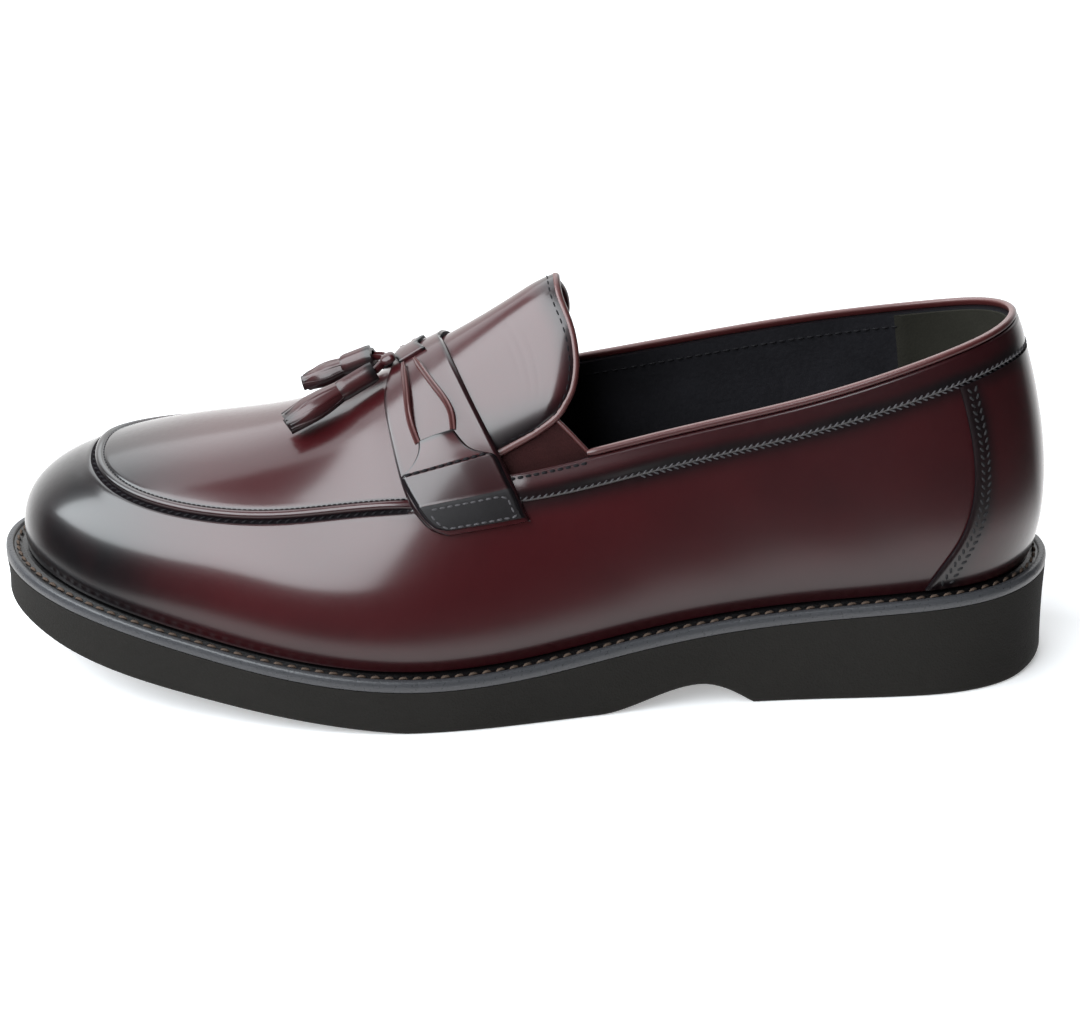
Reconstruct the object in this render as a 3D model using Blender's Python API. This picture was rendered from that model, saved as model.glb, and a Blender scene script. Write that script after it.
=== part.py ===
"""Tassel loafer, left shoe, built as separate leather and sole pieces over one last.

Tables are in millimetres. x runs from the back of the heel towards the toe, y towards the
outer (lateral) side and z up from the floor. Objects are in metres, with the origin on the
floor under the middle of the shoe's box.
"""

import math
from collections import namedtuple

import bpy
import numpy as np

MM = 0.001

# Driving sizes, in millimetres
WALL = 1.8  # leather and lining of the upper
GAP = 0.3  # clearance between pieces that touch
WELT_WIDTH = 6.2  # from the upper's foot to the welt's edge
WELT_THICKNESS = 3.4
WELT_INNER = 9.0  # how far the welt reaches in under the upper's foot
STITCH_GROOVE_DEPTH = 0.7
STITCH_GROOVE_FROM_EDGE = 2.0
STITCH_GROOVE_WIDTH = 2.8
STITCH_GROOVE_SIDE = 0.4
WELT_EDGE_DROP = 0.4
SOLE_TAPER = 0.8  # the tread is this much smaller all round than the welt
SOLE_EDGE_ROUND = 1.2
INSOLE_THICKNESS = 3.0
INSOLE_CLEARANCE = 2.2  # from the inside of the upper's wall
APRON_STEP = 0.6  # the apron stands this proud of the vamp
SEAM_BEAD = 1.2
SEAM_GROOVE = -0.4
SEAM_HALF_WIDTH = 1.5
OVERLAY = 1.1  # thickness of the collar band and the heel counter
COUNTER_LIFT = 0.5
COLLAR_BINDING_RADIUS = 1.2
TONGUE_THICKNESS = 2.1
TONGUE_LIFT = 0.5
TONGUE_BINDING_RADIUS = 1.0
GORE_THICKNESS = 1.1
GORE_DEPTH = 2.15
STRAP_THICKNESS = 1.6
STRAP_FRONT_LIFT = 0.95
STRAP_REAR_LIFT = 1.5
TAB_THICKNESS = 1.1
THONG_RADIUS = 1.05
TASSEL_CAP_RADIUS = 3.6
TASSEL_SKIRT_WIDTH = 5.2
TASSEL_SKIRT_HEIGHT = 3.2
TASSEL_STRIPS = 8
TASSEL_REST = 0.6  # clearance under the cap
TASSEL_NECK = 0.85  # the skirt's root, as a share of the cap's radius
TASSEL_NOTCH = 0.24  # depth of the cuts between strips at the skirt's end

# One row for each rib of the last, from the back of the heel to the tip of the toe. A rib is a
# cubic curve from its foot, on the welt, up to the ridge along the middle of the foot.
# swell: how far the lower handle leans out; rise: its height, as a share of the rib's height;
# crown: the upper handle's length, as a share of the rib's width.
Rib = namedtuple("Rib", "name lateral_x lateral_y medial_x medial_y top_x swell rise crown")
RIBS = (
    Rib("heel back", 5.5, 0.0, 5.5, 0.0, 46.0, 14.5, 0.26, 0.60),
    Rib("heel turn", 12.0, 17.0, 12.0, -15.8, 48.0, 11.8, 0.27, 0.60),
    Rib("heel side", 32.0, 28.0, 31.0, -26.6, 56.0, 7.8, 0.30, 0.60),
    Rib("seat front", 68.0, 30.2, 68.0, -28.2, 88.0, 6.0, 0.34, 0.60),
    Rib("waist", 108.0, 34.0, 108.0, -29.0, 136.0, 5.0, 0.48, 0.54),
    Rib("instep", 146.0, 42.6, 146.0, -34.0, 170.5, 4.5, 0.53, 0.48),
    Rib("joint", 179.0, 48.8, 181.0, -42.4, 191.0, 5.0, 0.53, 0.50),
    Rib("ball", 212.0, 47.0, 214.0, -47.0, 217.0, 5.5, 0.56, 0.54),
    Rib("toe side", 242.0, 38.8, 247.0, -44.0, 235.0, 5.8, 0.63, 0.58),
    Rib("toe turn", 273.2, 22.8, 282.0, -36.5, 244.0, 3.4, 0.60, 0.56),
    Rib("toe tip", 292.2, -9.5, 292.2, -9.5, 247.0, 5.0, 0.62, 0.58),
)
TOE = len(RIBS) - 1
AROUND = 2 * TOE

# The ridge of the last. Behind the tongue it is only the guide that shapes the collar.
Ridge = namedtuple("Ridge", "x y z")
RIDGE = (
    Ridge(40, 0, 152),
    Ridge(70, 0, 151),
    Ridge(100, 0, 141),
    Ridge(136, 0, 120.6),
    Ridge(160, 0, 104.6),
    Ridge(180, -1, 92.2),
    Ridge(200, -2, 80.8),
    Ridge(220, -4, 74.0),
    Ridge(240, -7, 70.0),
    Ridge(252, -8, 67.7),
)

# Heights along the foot: bed is the welt's top, tread the underside.
Bed = namedtuple("Bed", "x z")
BED = (
    Bed(0, 32.0),
    Bed(30, 30.6),
    Bed(60, 28.8),
    Bed(90, 26.3),
    Bed(120, 22.3),
    Bed(145, 18.6),
    Bed(165, 16.9),
    Bed(185, 16.7),
    Bed(205, 18.2),
    Bed(230, 21.9),
    Bed(255, 26.6),
    Bed(275, 29.9),
    Bed(298, 31.8),
)
HEEL_BREAST_X = 86.0
ARCH_FRONT_X = 130.0
ARCH_HEIGHT = 6.5
ARCH_CREST_X = 101.0
SPRING_START_X = 184.0
TOE_SPRING = 17.0
SPRING_CURVE = 1.2
SOLE_TIP_X = 298.0
HEEL_BEVEL_X = 12.0
HEEL_BEVEL_HEIGHT = 2.0

# Heights of the lines that cross the ribs, one row for each rib. The seam is the apron's edge in
# front and the collar band's lower edge behind; the collar is the edge of the opening.
Line = namedtuple("Line", "name seam_lateral seam_medial collar_lateral collar_medial")
LINES = (
    Line("heel back", 94.4, 94.4, 103.0, 103.0),
    Line("heel turn", 94.3, 93.0, 102.2, 100.9),
    Line("heel side", 89.6, 88.6, 97.8, 96.6),
    Line("seat front", 79.2, 83.4, 87.4, 91.9),
    Line("waist", 70.2, 76.2, 78.4, 85.0),
    Line("instep", 63.0, 69.6, 70.4, 78.2),
    Line("joint", 62.2, 67.0, 68.0, 73.2),
    Line("ball", 58.5, 62.6, 0.0, 0.0),
    Line("toe side", 57.4, 62.0, 0.0, 0.0),
    Line("toe turn", 58.9, 62.0, 0.0, 0.0),
    Line("toe tip", 62.1, 62.1, 0.0, 0.0),
)
LAST_COLLAR_ROW = 6
THROAT = 5.45  # rib, under the strap, where the upper ends and the tongue starts
THROAT_CLEARANCE = 0.02  # of a rib, between the upper and the tongue
MIDDLE_BLEND = 2.5  # ribs over which the apron's inner line leaves the throat's height
MIDDLE_SHARE = 0.45  # of the way from the seam to the ridge
APRON_FADE_REAR = 0.35  # ribs behind the strap's front edge where the apron's step starts
APRON_FADE_FRONT = 0.20
COLLAR_BINDING_END = 4.48
COLLAR_BAND_END = 4.98

# Front edge of the heel counter: rib number at a share of the way from the foot to the seam
CounterEdge = namedtuple("CounterEdge", "share rib")
COUNTER_EDGE = (
    CounterEdge(0.00, 2.18),
    CounterEdge(0.15, 2.05),
    CounterEdge(0.30, 1.88),
    CounterEdge(0.50, 1.74),
    CounterEdge(1.00, 1.79),
)
COUNTER_FOOT_SHARE = 0.015
COUNTER_SEAM_SHARE = 0.02

# Strap and tab rows, from the top down. Each gives the rear and the front edge as a rib number and
# a share of the way up that rib; 1 is the ridge.
Row = namedtuple("Row", "rear_rib rear_share front_rib front_share")
STRAP_ROWS = (
    Row(5.080, 1.000, 5.720, 1.000),
    Row(5.160, 0.900, 5.930, 0.900),
    Row(5.210, 0.800, 6.050, 0.800),
    Row(5.215, 0.670, 6.080, 0.670),
    Row(5.165, 0.540, 6.075, 0.560),
    Row(5.110, 0.450, 6.040, 0.480),
    Row(5.070, 0.385, 5.970, 0.420),
    Row(5.045, 0.345, 5.870, 0.375),
    Row(5.020, 0.320, 5.740, 0.349),
)
STRAP_REAR = 5.0
STRAP_FRONT = 6.1

# The tab sewn over each end of the strap, narrow at the top where the thong leaves it
TAB_ROWS = (
    Row(5.470, 0.609, 5.830, 0.618),
    Row(5.430, 0.575, 5.860, 0.585),
    Row(5.365, 0.540, 5.950, 0.555),
    Row(5.250, 0.515, 6.040, 0.540),
    Row(5.170, 0.495, 6.050, 0.520),
    Row(5.140, 0.450, 6.010, 0.475),
    Row(5.095, 0.385, 5.935, 0.418),
    Row(5.075, 0.350, 5.840, 0.378),
    Row(5.060, 0.333, 5.730, 0.361),
)

# Rear edge of the tongue, from the ridge (across 0) down to its lower corner (across 1)
TongueEdge = namedtuple("TongueEdge", "across rib share")
TONGUE_EDGE = (
    TongueEdge(0.00, 4.130, 1.000),
    TongueEdge(0.20, 4.275, 0.850),
    TongueEdge(0.38, 4.335, 0.730),
    TongueEdge(0.53, 4.390, 0.645),
    TongueEdge(0.65, 4.440, 0.600),
    TongueEdge(0.76, 4.505, 0.565),
    TongueEdge(0.86, 4.580, 0.542),
    TongueEdge(0.94, 4.680, 0.524),
    TongueEdge(1.00, 4.850, 0.514),
)
TONGUE_FRONT_SHARE = 0.50
TONGUE_FRONT = THROAT - THROAT_CLEARANCE
TONGUE_BINDING_START = 0.45  # share of the tongue's side edge, under the strap

# Upper edge of the gore that shows between the tongue's corner and the quarter
GoreEdge = namedtuple("GoreEdge", "rib share")
GORE_EDGE = (
    GoreEdge(4.50, 0.415),
    GoreEdge(4.58, 0.470),
    GoreEdge(4.66, 0.525),
    GoreEdge(5.20, 0.525),
)
GORE_LEAST_SHARE = 0.01
GORE_TUCK_SHARE = 0.05  # how far the gore reaches down behind the quarter

# Routes of the tie thong over the strap, from the tab's top to the keeper
ThongPoint = namedtuple("ThongPoint", "rib share")
THONG_FRONT = (
    ThongPoint(5.835, 0.636),
    ThongPoint(5.845, 0.680),
    ThongPoint(5.790, 0.775),
    ThongPoint(5.665, 0.915),
)
THONG_REAR = (
    ThongPoint(5.475, 0.630),
    ThongPoint(5.440, 0.650),
    ThongPoint(5.480, 0.740),
    ThongPoint(5.525, 0.905),
)
KEEPER_REAR = 5.34
KEEPER_FRONT = 5.70
KEEPER_SHARE = 0.935
KEEPER_THICKNESS = 2.0
LOOP_RIB = 5.79
LOOP_RADIUS = 1.3
LOOP_LIFT = 4.4
LOOP_TO_CAP = 0.95

# Each tassel: where the cap starts and where the skirt ends on the apron, and their lengths
Tassel = namedtuple("Tassel", "name side rib0 share0 rib1 share1 cap skirt")
TASSELS = (
    Tassel("lateral", 1, 5.99, 0.925, 7.08, 0.805, 11.5, 19.5),
    Tassel("medial", -1, 5.97, 0.940, 6.78, 0.905, 9.5, 14.0),
)

# Rings of a tassel: the cap's, as a share of its length and of its radius, and the skirt's
CapRing = namedtuple("CapRing", "at scale")
CAP_RINGS = (
    CapRing(0.00, 0.55),
    CapRing(0.07, 0.90),
    CapRing(0.50, 1.00),
    CapRing(1.00, 0.96),
)
SKIRT_RINGS = (0.0, 0.25, 0.6, 1.0)
CAP_SIDES = 12
SIDES_PER_STRIP = 3

# Facets of each piece
RIBS_PER_ROW = 4  # steps between two rows of the tables
PLATE_SHARES = (0.2, 0.5, 0.8)  # points across the tread, the bed and the insole
LOWER_ROWS = 5  # upper, from the foot to the seam
MIDDLE_ROWS = 2  # upper, from the seam to the collar's height
APRON_ROWS = 4  # upper, from there to the ridge, in front of the throat
BAND_COLUMNS = 36
BAND_ROWS = 3
COUNTER_COLUMNS = 16
COUNTER_ROWS = 6
COLLAR_BINDING_STEPS = 36
TONGUE_ACROSS = 16
TONGUE_ALONG = 6
TONGUE_BINDING_TUCK_STEPS = 5
TONGUE_BINDING_SPACING = 4.0
GORE_COLUMNS = 6
GORE_ROWS = 3
STRAP_STEPS_DOWN = 9
STRAP_STEPS_ACROSS = 5
KEEPER_STEPS_DOWN = 4
KEEPER_STEPS_ACROSS = 3
THONG_SPACING = 3.0
LOOP_SPACING = 4.0

# Small steps for slopes, and limits of the numbers' precision
RIB_STEP = 0.02
SHARE_STEP = 0.01
RIDGE_STEP = 0.5
NORMAL_TOP_SHARE = 0.985
HALVINGS = 30
MERGE = 0.2
ROUND_OFF = 1e-9

Finish = namedtuple("Finish", "name red green blue roughness")
OXBLOOD = Finish("oxblood leather", 0.075, 0.012, 0.016, 0.28)
BURNISHED = Finish("burnished leather", 0.030, 0.010, 0.012, 0.30)
BINDING = Finish("binding leather", 0.150, 0.035, 0.030, 0.35)
LINING = Finish("black lining", 0.010, 0.010, 0.011, 0.60)
FOAM = Finish("brown foam rubber", 0.026, 0.021, 0.017, 0.75)
WELT = Finish("grey welt", 0.060, 0.062, 0.068, 0.35)


class Spline:
    """A cubic curve through the rows of a table, with free ends or closed on itself."""

    def __init__(self, knots, rows, closed=False):
        self.knots = np.asarray(knots, float)
        self.rows = np.asarray(rows, float)
        step = np.diff(self.knots)
        slope = np.diff(self.rows, axis=0) / step[:, None]
        count = len(self.knots)
        matrix = np.zeros((count, count))
        right = np.zeros_like(self.rows)
        for i in range(1, count - 1):
            matrix[i, i - 1 : i + 2] = step[i - 1], 2 * (step[i - 1] + step[i]), step[i]
            right[i] = 6 * (slope[i] - slope[i - 1])
        if closed:
            matrix[0, [0, -1]] = 1, -1
            matrix[-1, [0, 1, -2, -1]] = 2 * step[0], step[0], step[-1], 2 * step[-1]
            right[-1] = 6 * (slope[0] - slope[-1])
        else:
            matrix[0, 0] = matrix[-1, -1] = 1
        self.bend = np.linalg.solve(matrix, right)

    def __call__(self, at):
        i = int(np.clip(np.searchsorted(self.knots, at, "right") - 1, 0, len(self.knots) - 2))
        step = self.knots[i + 1] - self.knots[i]
        b = (at - self.knots[i]) / step
        a = 1 - b
        curve = (a**3 - a) * self.bend[i] + (b**3 - b) * self.bend[i + 1]
        return a * self.rows[i] + b * self.rows[i + 1] + curve * step * step / 6


def both_sides(lateral, medial):
    """Rows of one closed loop: heel back, lateral side, toe tip, medial side, heel back."""
    return list(lateral) + list(reversed(medial))[1:]


RIB_LOOP = Spline(
    range(AROUND + 1),
    both_sides(
        [(r.lateral_x, r.lateral_y, r.top_x, r.swell, r.rise, r.crown) for r in RIBS],
        [(r.medial_x, r.medial_y, r.top_x, r.swell, r.rise, r.crown) for r in RIBS],
    ),
    closed=True,
)
SEAM_LOOP = Spline(
    range(AROUND + 1),
    both_sides([[r.seam_lateral] for r in LINES], [[r.seam_medial] for r in LINES]),
    closed=True,
)
COLLAR_ROWS = both_sides(
    list(reversed([[r.collar_medial] for r in LINES[: LAST_COLLAR_ROW + 1]])),
    list(reversed([[r.collar_lateral] for r in LINES[: LAST_COLLAR_ROW + 1]])),
)
COLLAR_LINE = Spline(range(-LAST_COLLAR_ROW, LAST_COLLAR_ROW + 1), COLLAR_ROWS)
RIDGE_LINE = Spline([r.x for r in RIDGE], [(r.y, r.z) for r in RIDGE])
BED_LINE = Spline([b.x for b in BED], [[b.z] for b in BED])


def bed_height(x):
    return float(BED_LINE(x)[0])


def smooth_step(low, high, x):
    share = min(max((x - low) / (high - low), 0.0), 1.0)
    return share * share * (3 - 2 * share)


def tread_height(x):
    """Underside of the sole: flat heel, scooped arch, flat ball, sprung toe, bevelled heel back."""
    arch_up = smooth_step(HEEL_BREAST_X, ARCH_CREST_X, x)
    arch_down = 1 - smooth_step(ARCH_CREST_X, ARCH_FRONT_X, x)
    arch = ARCH_HEIGHT * math.sqrt(arch_up) * arch_down
    spring = max((x - SPRING_START_X) / (SOLE_TIP_X - SPRING_START_X), 0.0) ** SPRING_CURVE * TOE_SPRING
    bevel = HEEL_BEVEL_HEIGHT * max(1 - x / HEEL_BEVEL_X, 0.0) ** 2
    return arch + spring + bevel


def rib_handles(t):
    """The four points of the rib's cubic curve."""
    foot_x, foot_y, top_x, swell, rise, crown = RIB_LOOP(t % AROUND)
    top_y, top_z = RIDGE_LINE(top_x)
    foot = np.array([foot_x, foot_y, bed_height(foot_x) + GAP])
    top = np.array([top_x, top_y, top_z])
    out = np.array([foot_x - top_x, foot_y - top_y, 0.0])
    rise_of_ridge = RIDGE_LINE(top_x + RIDGE_STEP)[1] - RIDGE_LINE(top_x - RIDGE_STEP)[1]
    low = foot + out / np.linalg.norm(out) * swell
    low[2] += rise * (top_z - foot[2])
    high = top + crown * out
    high[2] += rise_of_ridge / (2 * RIDGE_STEP) * crown * out[0]
    return foot, low, high, top


def on_rib(t, v):
    a, b, c, d = rib_handles(t)
    u = 1 - v
    return u**3 * a + 3 * u * u * v * b + 3 * u * v * v * c + v**3 * d


def skin_normal(t, v):
    """Outward direction of the last at a place; kept off the ridge, where ribs run together."""
    v = min(max(v, SHARE_STEP), NORMAL_TOP_SHARE - SHARE_STEP)
    along = on_rib(t + RIB_STEP, v) - on_rib(t - RIB_STEP, v)
    up = on_rib(t, v + SHARE_STEP) - on_rib(t, v - SHARE_STEP)
    out = np.cross(up, along)
    return out / np.linalg.norm(out)


def skin(t, v, lift=0.0):
    """A point of the upper's outer face, raised along its normal."""
    return on_rib(t, v) + lift * skin_normal(t, v)


def share_at_height(t, z):
    """How far up its rib the height z is reached."""
    low, high = 0.0, 1.0
    for _ in range(HALVINGS):
        middle = (low + high) / 2
        if on_rib(t, middle)[2] < z:
            low = middle
        else:
            high = middle
    return (low + high) / 2


def signed_rib(t):
    """The rib number counted from the heel: positive on the lateral side, negative on the medial."""
    t %= AROUND
    return t if t <= TOE else t - AROUND


def seam_share(t):
    return share_at_height(t, float(SEAM_LOOP(t % AROUND)[0]))


def collar_share(t):
    return share_at_height(t, float(COLLAR_LINE(signed_rib(t))[0]))


def side_rib(side, t):
    """A rib counted from the heel, on the lateral (+1) or the medial (-1) side."""
    return t if side > 0 else AROUND - t


def steps(start, end, count):
    return [start + (end - start) * i / count for i in range(count + 1)]


def outline(t, out):
    """The shoe's plan outline at a rib: the upper's foot moved outwards by a distance."""
    foot = RIB_LOOP(t % AROUND)[:2]
    ahead = RIB_LOOP((t + RIB_STEP) % AROUND)[:2] - RIB_LOOP((t - RIB_STEP) % AROUND)[:2]
    normal = np.array([-ahead[1], ahead[0]]) / np.linalg.norm(ahead)
    return foot + out * normal


LOOP = [i / RIBS_PER_ROW for i in range(AROUND * RIBS_PER_ROW)]
WELT_EDGE = np.array([outline(t, WELT_WIDTH) for t in LOOP])
ORIGIN = np.append((WELT_EDGE.max(0) + WELT_EDGE.min(0)) / 2, 0.0)


def place(point):
    """Table millimetres to object metres."""
    return tuple((np.asarray(point) - ORIGIN) * MM)


def material(finish):
    """The material of a finish, made once."""
    if finish.name not in bpy.data.materials:
        made = bpy.data.materials.new(finish.name)
        made.use_nodes = True
        shader = made.node_tree.nodes["Principled BSDF"]
        shader.inputs["Base Color"].default_value = (finish.red, finish.green, finish.blue, 1.0)
        shader.inputs["Roughness"].default_value = finish.roughness
        shader.inputs["Metallic"].default_value = 0.0
    return bpy.data.materials[finish.name]


def add_object(name, data, finish):
    made = bpy.data.objects.new(name, data)
    made.data.materials.append(material(finish))
    bpy.context.scene.collection.objects.link(made)
    return made


def mesh_object(name, points, faces, finish):
    """A mesh object from points in table millimetres."""
    mesh = bpy.data.meshes.new(name)
    mesh.from_pydata([place(p) for p in points], [], faces)
    mesh.shade_smooth()
    return add_object(name, mesh, finish)


def wall_object(name, outer, inner, faces, finish):
    """A closed wall: outer faces, the same faces inside turned round, and a rim along open edges."""
    count = len(outer)
    used = {}
    for face in faces:
        for a, b in zip(face, face[1:] + face[:1]):
            used[a, b] = True
    inside = [tuple(count + i for i in reversed(face)) for face in faces]
    rim = [(b, a, count + a, count + b) for a, b in used if (b, a) not in used]
    return mesh_object(name, outer + inner, faces + inside + rim, finish)


def grid_faces(columns, rows, closed=False, first=0):
    """Quads of a grid stored column by column, seen from outside where columns run with the ribs."""
    quads = []
    for c in range(columns if closed else columns - 1):
        after = (c + 1) % columns
        for r in range(rows - 1):
            corner = first + c * rows + r
            beside = first + after * rows + r
            quads.append((corner, corner + 1, beside + 1, beside))
    return quads


def sheet(name, columns, thickness, finish):
    """A wall from columns of places on the last; each place is a rib, a share and an outer lift."""
    spots = [spot for column in columns for spot in column]
    outer = [skin(t, v, lift) for t, v, lift in spots]
    inner = [skin(t, v, lift - thickness) for t, v, lift in spots]
    return wall_object(name, outer, inner, grid_faces(len(columns), len(columns[0])), finish)


def ring_solid(name, rings, finish):
    """A closed solid from rings of points, each ring capped to the next and the last to the first."""
    count = len(rings[0])
    points = [p for ring in rings for p in ring]
    faces = []
    for k in range(len(rings)):
        below, above = k * count, (k + 1) % len(rings) * count
        for i in range(count):
            j = (i + 1) % count
            faces.append((below + i, above + i, above + j, below + j))
    return mesh_object(name, points, faces, finish)


def tube(name, points, radius, finish, resolution=2, closed=False):
    """A round cord or bead along points in table millimetres."""
    curve = bpy.data.curves.new(name, "CURVE")
    curve.dimensions = "3D"
    curve.bevel_depth = radius * MM
    curve.bevel_resolution = resolution
    curve.use_fill_caps = True
    spline = curve.splines.new("POLY")
    spline.points.add(len(points) - 1)
    spline.use_cyclic_u = closed
    for target, point in zip(spline.points, points):
        target.co = (*place(point), 1.0)
    return add_object(name, curve, finish)


def even_points(points, spacing):
    """Points about evenly spaced along a smooth curve through a route's own points."""
    route = np.asarray(points, float)
    lengths = np.append(0, np.cumsum(np.linalg.norm(np.diff(route, axis=0), axis=1)))
    curve = Spline(lengths, route)
    return [curve(at) for at in np.linspace(0, lengths[-1], int(lengths[-1] / spacing) + 2)]


# Sole


def sole_levels():
    """Heights of the outsole's rings at a plan point: the rim under the welt and the tread."""
    rim = [(p[0], p[1], bed_height(p[0]) - WELT_THICKNESS - GAP) for p in WELT_EDGE]
    lower = np.array([outline(t, WELT_WIDTH - SOLE_TAPER) for t in LOOP])
    side = [(p[0], p[1], tread_height(p[0]) + SOLE_EDGE_ROUND) for p in lower]
    tread = np.array([outline(t, WELT_WIDTH - SOLE_TAPER - SOLE_EDGE_ROUND) for t in LOOP])
    foot = [(p[0], p[1], tread_height(p[0])) for p in tread]
    return rim, side, foot


def plate_rows(edge, height):
    """Points across a plate, chord by chord from the lateral edge to the medial one."""
    half = len(LOOP) // 2
    rows = []
    for i in range(1, half):
        a, b = np.asarray(edge[i]), np.asarray(edge[-i])
        rows.append([a + (b - a) * s for s in PLATE_SHARES])
    return [[(p[0], p[1], height(p[0])) for p in row] for row in rows]


def plate_cap(points, faces, ring_start, edge, height, upwards):
    """Closes a ring with a plate whose surface follows a height along the foot."""
    half = len(LOOP) // 2
    rows = plate_rows(edge, height)
    table = []
    for i, row in enumerate(rows, 1):
        start = len(points)
        points.extend(row)
        inner = list(range(start, start + len(row)))
        table.append([ring_start + i] + inner + [ring_start + len(LOOP) - i])
    tip, heel = ring_start + half, ring_start
    cap = []
    for near, far in zip(table, table[1:]):
        for k in range(len(near) - 1):
            cap.append((near[k], far[k], far[k + 1], near[k + 1]))
    for end, row, flip in ((heel, table[0], True), (tip, table[-1], False)):
        for k in range(len(row) - 1):
            cap.append((end, row[k + 1], row[k]) if not flip else (end, row[k], row[k + 1]))
    faces.extend([tuple(reversed(f)) for f in cap] if upwards else cap)


def make_outsole(finish):
    """The unit sole: side wall, tread, and a raised middle that fills the welt's ring."""
    rim, side, foot = sole_levels()
    inner = np.array([outline(t, -WELT_INNER - GAP) for t in LOOP])
    ledge = [(p[0], p[1], bed_height(p[0]) - WELT_THICKNESS - GAP) for p in inner]
    bed = [(p[0], p[1], bed_height(p[0])) for p in inner]
    rings = [foot, side, rim, ledge, bed]
    count = len(LOOP)
    points = [p for ring in rings for p in ring]
    faces = []
    for k in range(len(rings) - 1):
        for i in range(count):
            j = (i + 1) % count
            low, high = k * count, (k + 1) * count
            faces.append((low + i, high + i, high + j, low + j))
    plate_cap(points, faces, (len(rings) - 1) * count, inner, bed_height, True)
    tread_plan = [(p[0], p[1]) for p in foot]
    plate_cap(points, faces, 0, tread_plan, tread_height, False)
    return mesh_object("outsole", points, faces, finish)


def make_welt(finish):
    """The welt: a strip all round with a sunk track for its stitches."""
    groove_out = WELT_WIDTH - STITCH_GROOVE_FROM_EDGE
    groove_in = groove_out - STITCH_GROOVE_WIDTH
    profile = (
        (WELT_WIDTH, -WELT_THICKNESS),
        (WELT_WIDTH, -WELT_EDGE_DROP),
        (groove_out, 0.0),
        (groove_out - STITCH_GROOVE_SIDE, -STITCH_GROOVE_DEPTH),
        (groove_in, -STITCH_GROOVE_DEPTH),
        (groove_in - STITCH_GROOVE_SIDE, 0.0),
        (-WELT_INNER, 0.0),
        (-WELT_INNER, -WELT_THICKNESS),
    )
    rings = []
    for out, height in profile:
        plan = [outline(t, out) for t in LOOP]
        rings.append([(p[0], p[1], bed_height(p[0]) + height) for p in plan])
    return ring_solid("welt", rings, finish)


def make_insole(finish):
    """The insole board, inside the upper's wall and on the welt and sole."""
    edge = [outline(t, -WALL - INSOLE_CLEARANCE) for t in LOOP]
    low = [(p[0], p[1], bed_height(p[0]) + GAP) for p in edge]
    high = [(p[0], p[1], bed_height(p[0]) + GAP + INSOLE_THICKNESS) for p in edge]
    count = len(LOOP)
    points = low + high
    faces = [(i, count + i, count + (i + 1) % count, (i + 1) % count) for i in range(count)]

    def top(x):
        return bed_height(x) + GAP + INSOLE_THICKNESS

    def under(x):
        return bed_height(x) + GAP

    plate_cap(points, faces, count, edge, top, True)
    plate_cap(points, faces, 0, edge, under, False)
    return mesh_object("insole", points, faces, finish)


# Upper


def apron_fade(t):
    """1 on the apron, 0 on the quarters, changing over under the strap."""
    start, end = STRAP_FRONT - APRON_FADE_REAR, STRAP_FRONT + APRON_FADE_FRONT
    return smooth_step(start, end, abs(signed_rib(t)))


def upper_column(t, front):
    """Places up one rib of the upper, with the step at the apron's seam."""
    seam = seam_share(t)
    fade = apron_fade(t)
    rise = np.linalg.norm(on_rib(t, seam + SHARE_STEP) - on_rib(t, seam - SHARE_STEP))
    half = SEAM_HALF_WIDTH * 2 * SHARE_STEP / rise
    if abs(signed_rib(t)) <= THROAT:
        middle = collar_share(t)
    else:
        blend = smooth_step(THROAT, THROAT + MIDDLE_BLEND, abs(signed_rib(t)))
        edge = collar_share(side_rib(np.sign(signed_rib(t)), THROAT))
        middle = edge + blend * (seam + MIDDLE_SHARE * (1 - seam) - edge)
    column = [(t, v, 0.0) for v in steps(0.0, seam - 2 * half, LOWER_ROWS - 1)]
    column.append((t, seam - half, SEAM_GROOVE * fade))
    column.append((t, seam, SEAM_BEAD * fade))
    column.append((t, seam + half, APRON_STEP * fade))
    column += [(t, v, APRON_STEP * fade) for v in steps(seam + half, middle, MIDDLE_ROWS)[1:]]
    if front:
        column += [(t, v, APRON_STEP * fade) for v in steps(middle, 1.0, APRON_ROWS)[1:]]
    return column


def make_upper(finish):
    """Vamp, quarters and apron as one wall, open at the collar, the throat and underneath."""
    ribs = sorted({*LOOP, THROAT, AROUND - THROAT})
    rear = [t for t in ribs if abs(signed_rib(t)) <= THROAT + ROUND_OFF]
    rear.sort(key=signed_rib)
    front = [t for t in ribs if abs(t - TOE) <= TOE - THROAT + ROUND_OFF]
    short = [upper_column(t, False) for t in rear]
    tall = [upper_column(t, True) for t in front]
    spots = [spot for column in short + tall for spot in column]
    faces = grid_faces(len(short), len(short[0]))
    faces += grid_faces(len(tall), len(tall[0]), first=len(short) * len(short[0]))
    outer = [skin(t, v, lift) for t, v, lift in spots]
    inner = [skin(t, v, -WALL) for t, v, _ in spots]
    outer, inner, faces = joined(outer, inner, faces)
    return wall_object("upper", outer, inner, faces, finish)


def joined(outer, inner, faces):
    """Merges outer points that lie close together, with their inner points, and drops flat faces."""
    first = []
    kept_outer, kept_inner = [], []
    for point, back in zip(outer, inner):
        near = [i for i, other in enumerate(kept_outer) if np.linalg.norm(other - point) < MERGE]
        if not near:
            kept_outer.append(point)
            kept_inner.append(back)
        first.append(near[0] if near else len(kept_outer) - 1)
    whole = []
    for face in faces:
        corners = tuple(dict.fromkeys(first[i] for i in face))
        if len(corners) > 2:
            whole.append(corners)
    return kept_outer, kept_inner, whole


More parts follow.
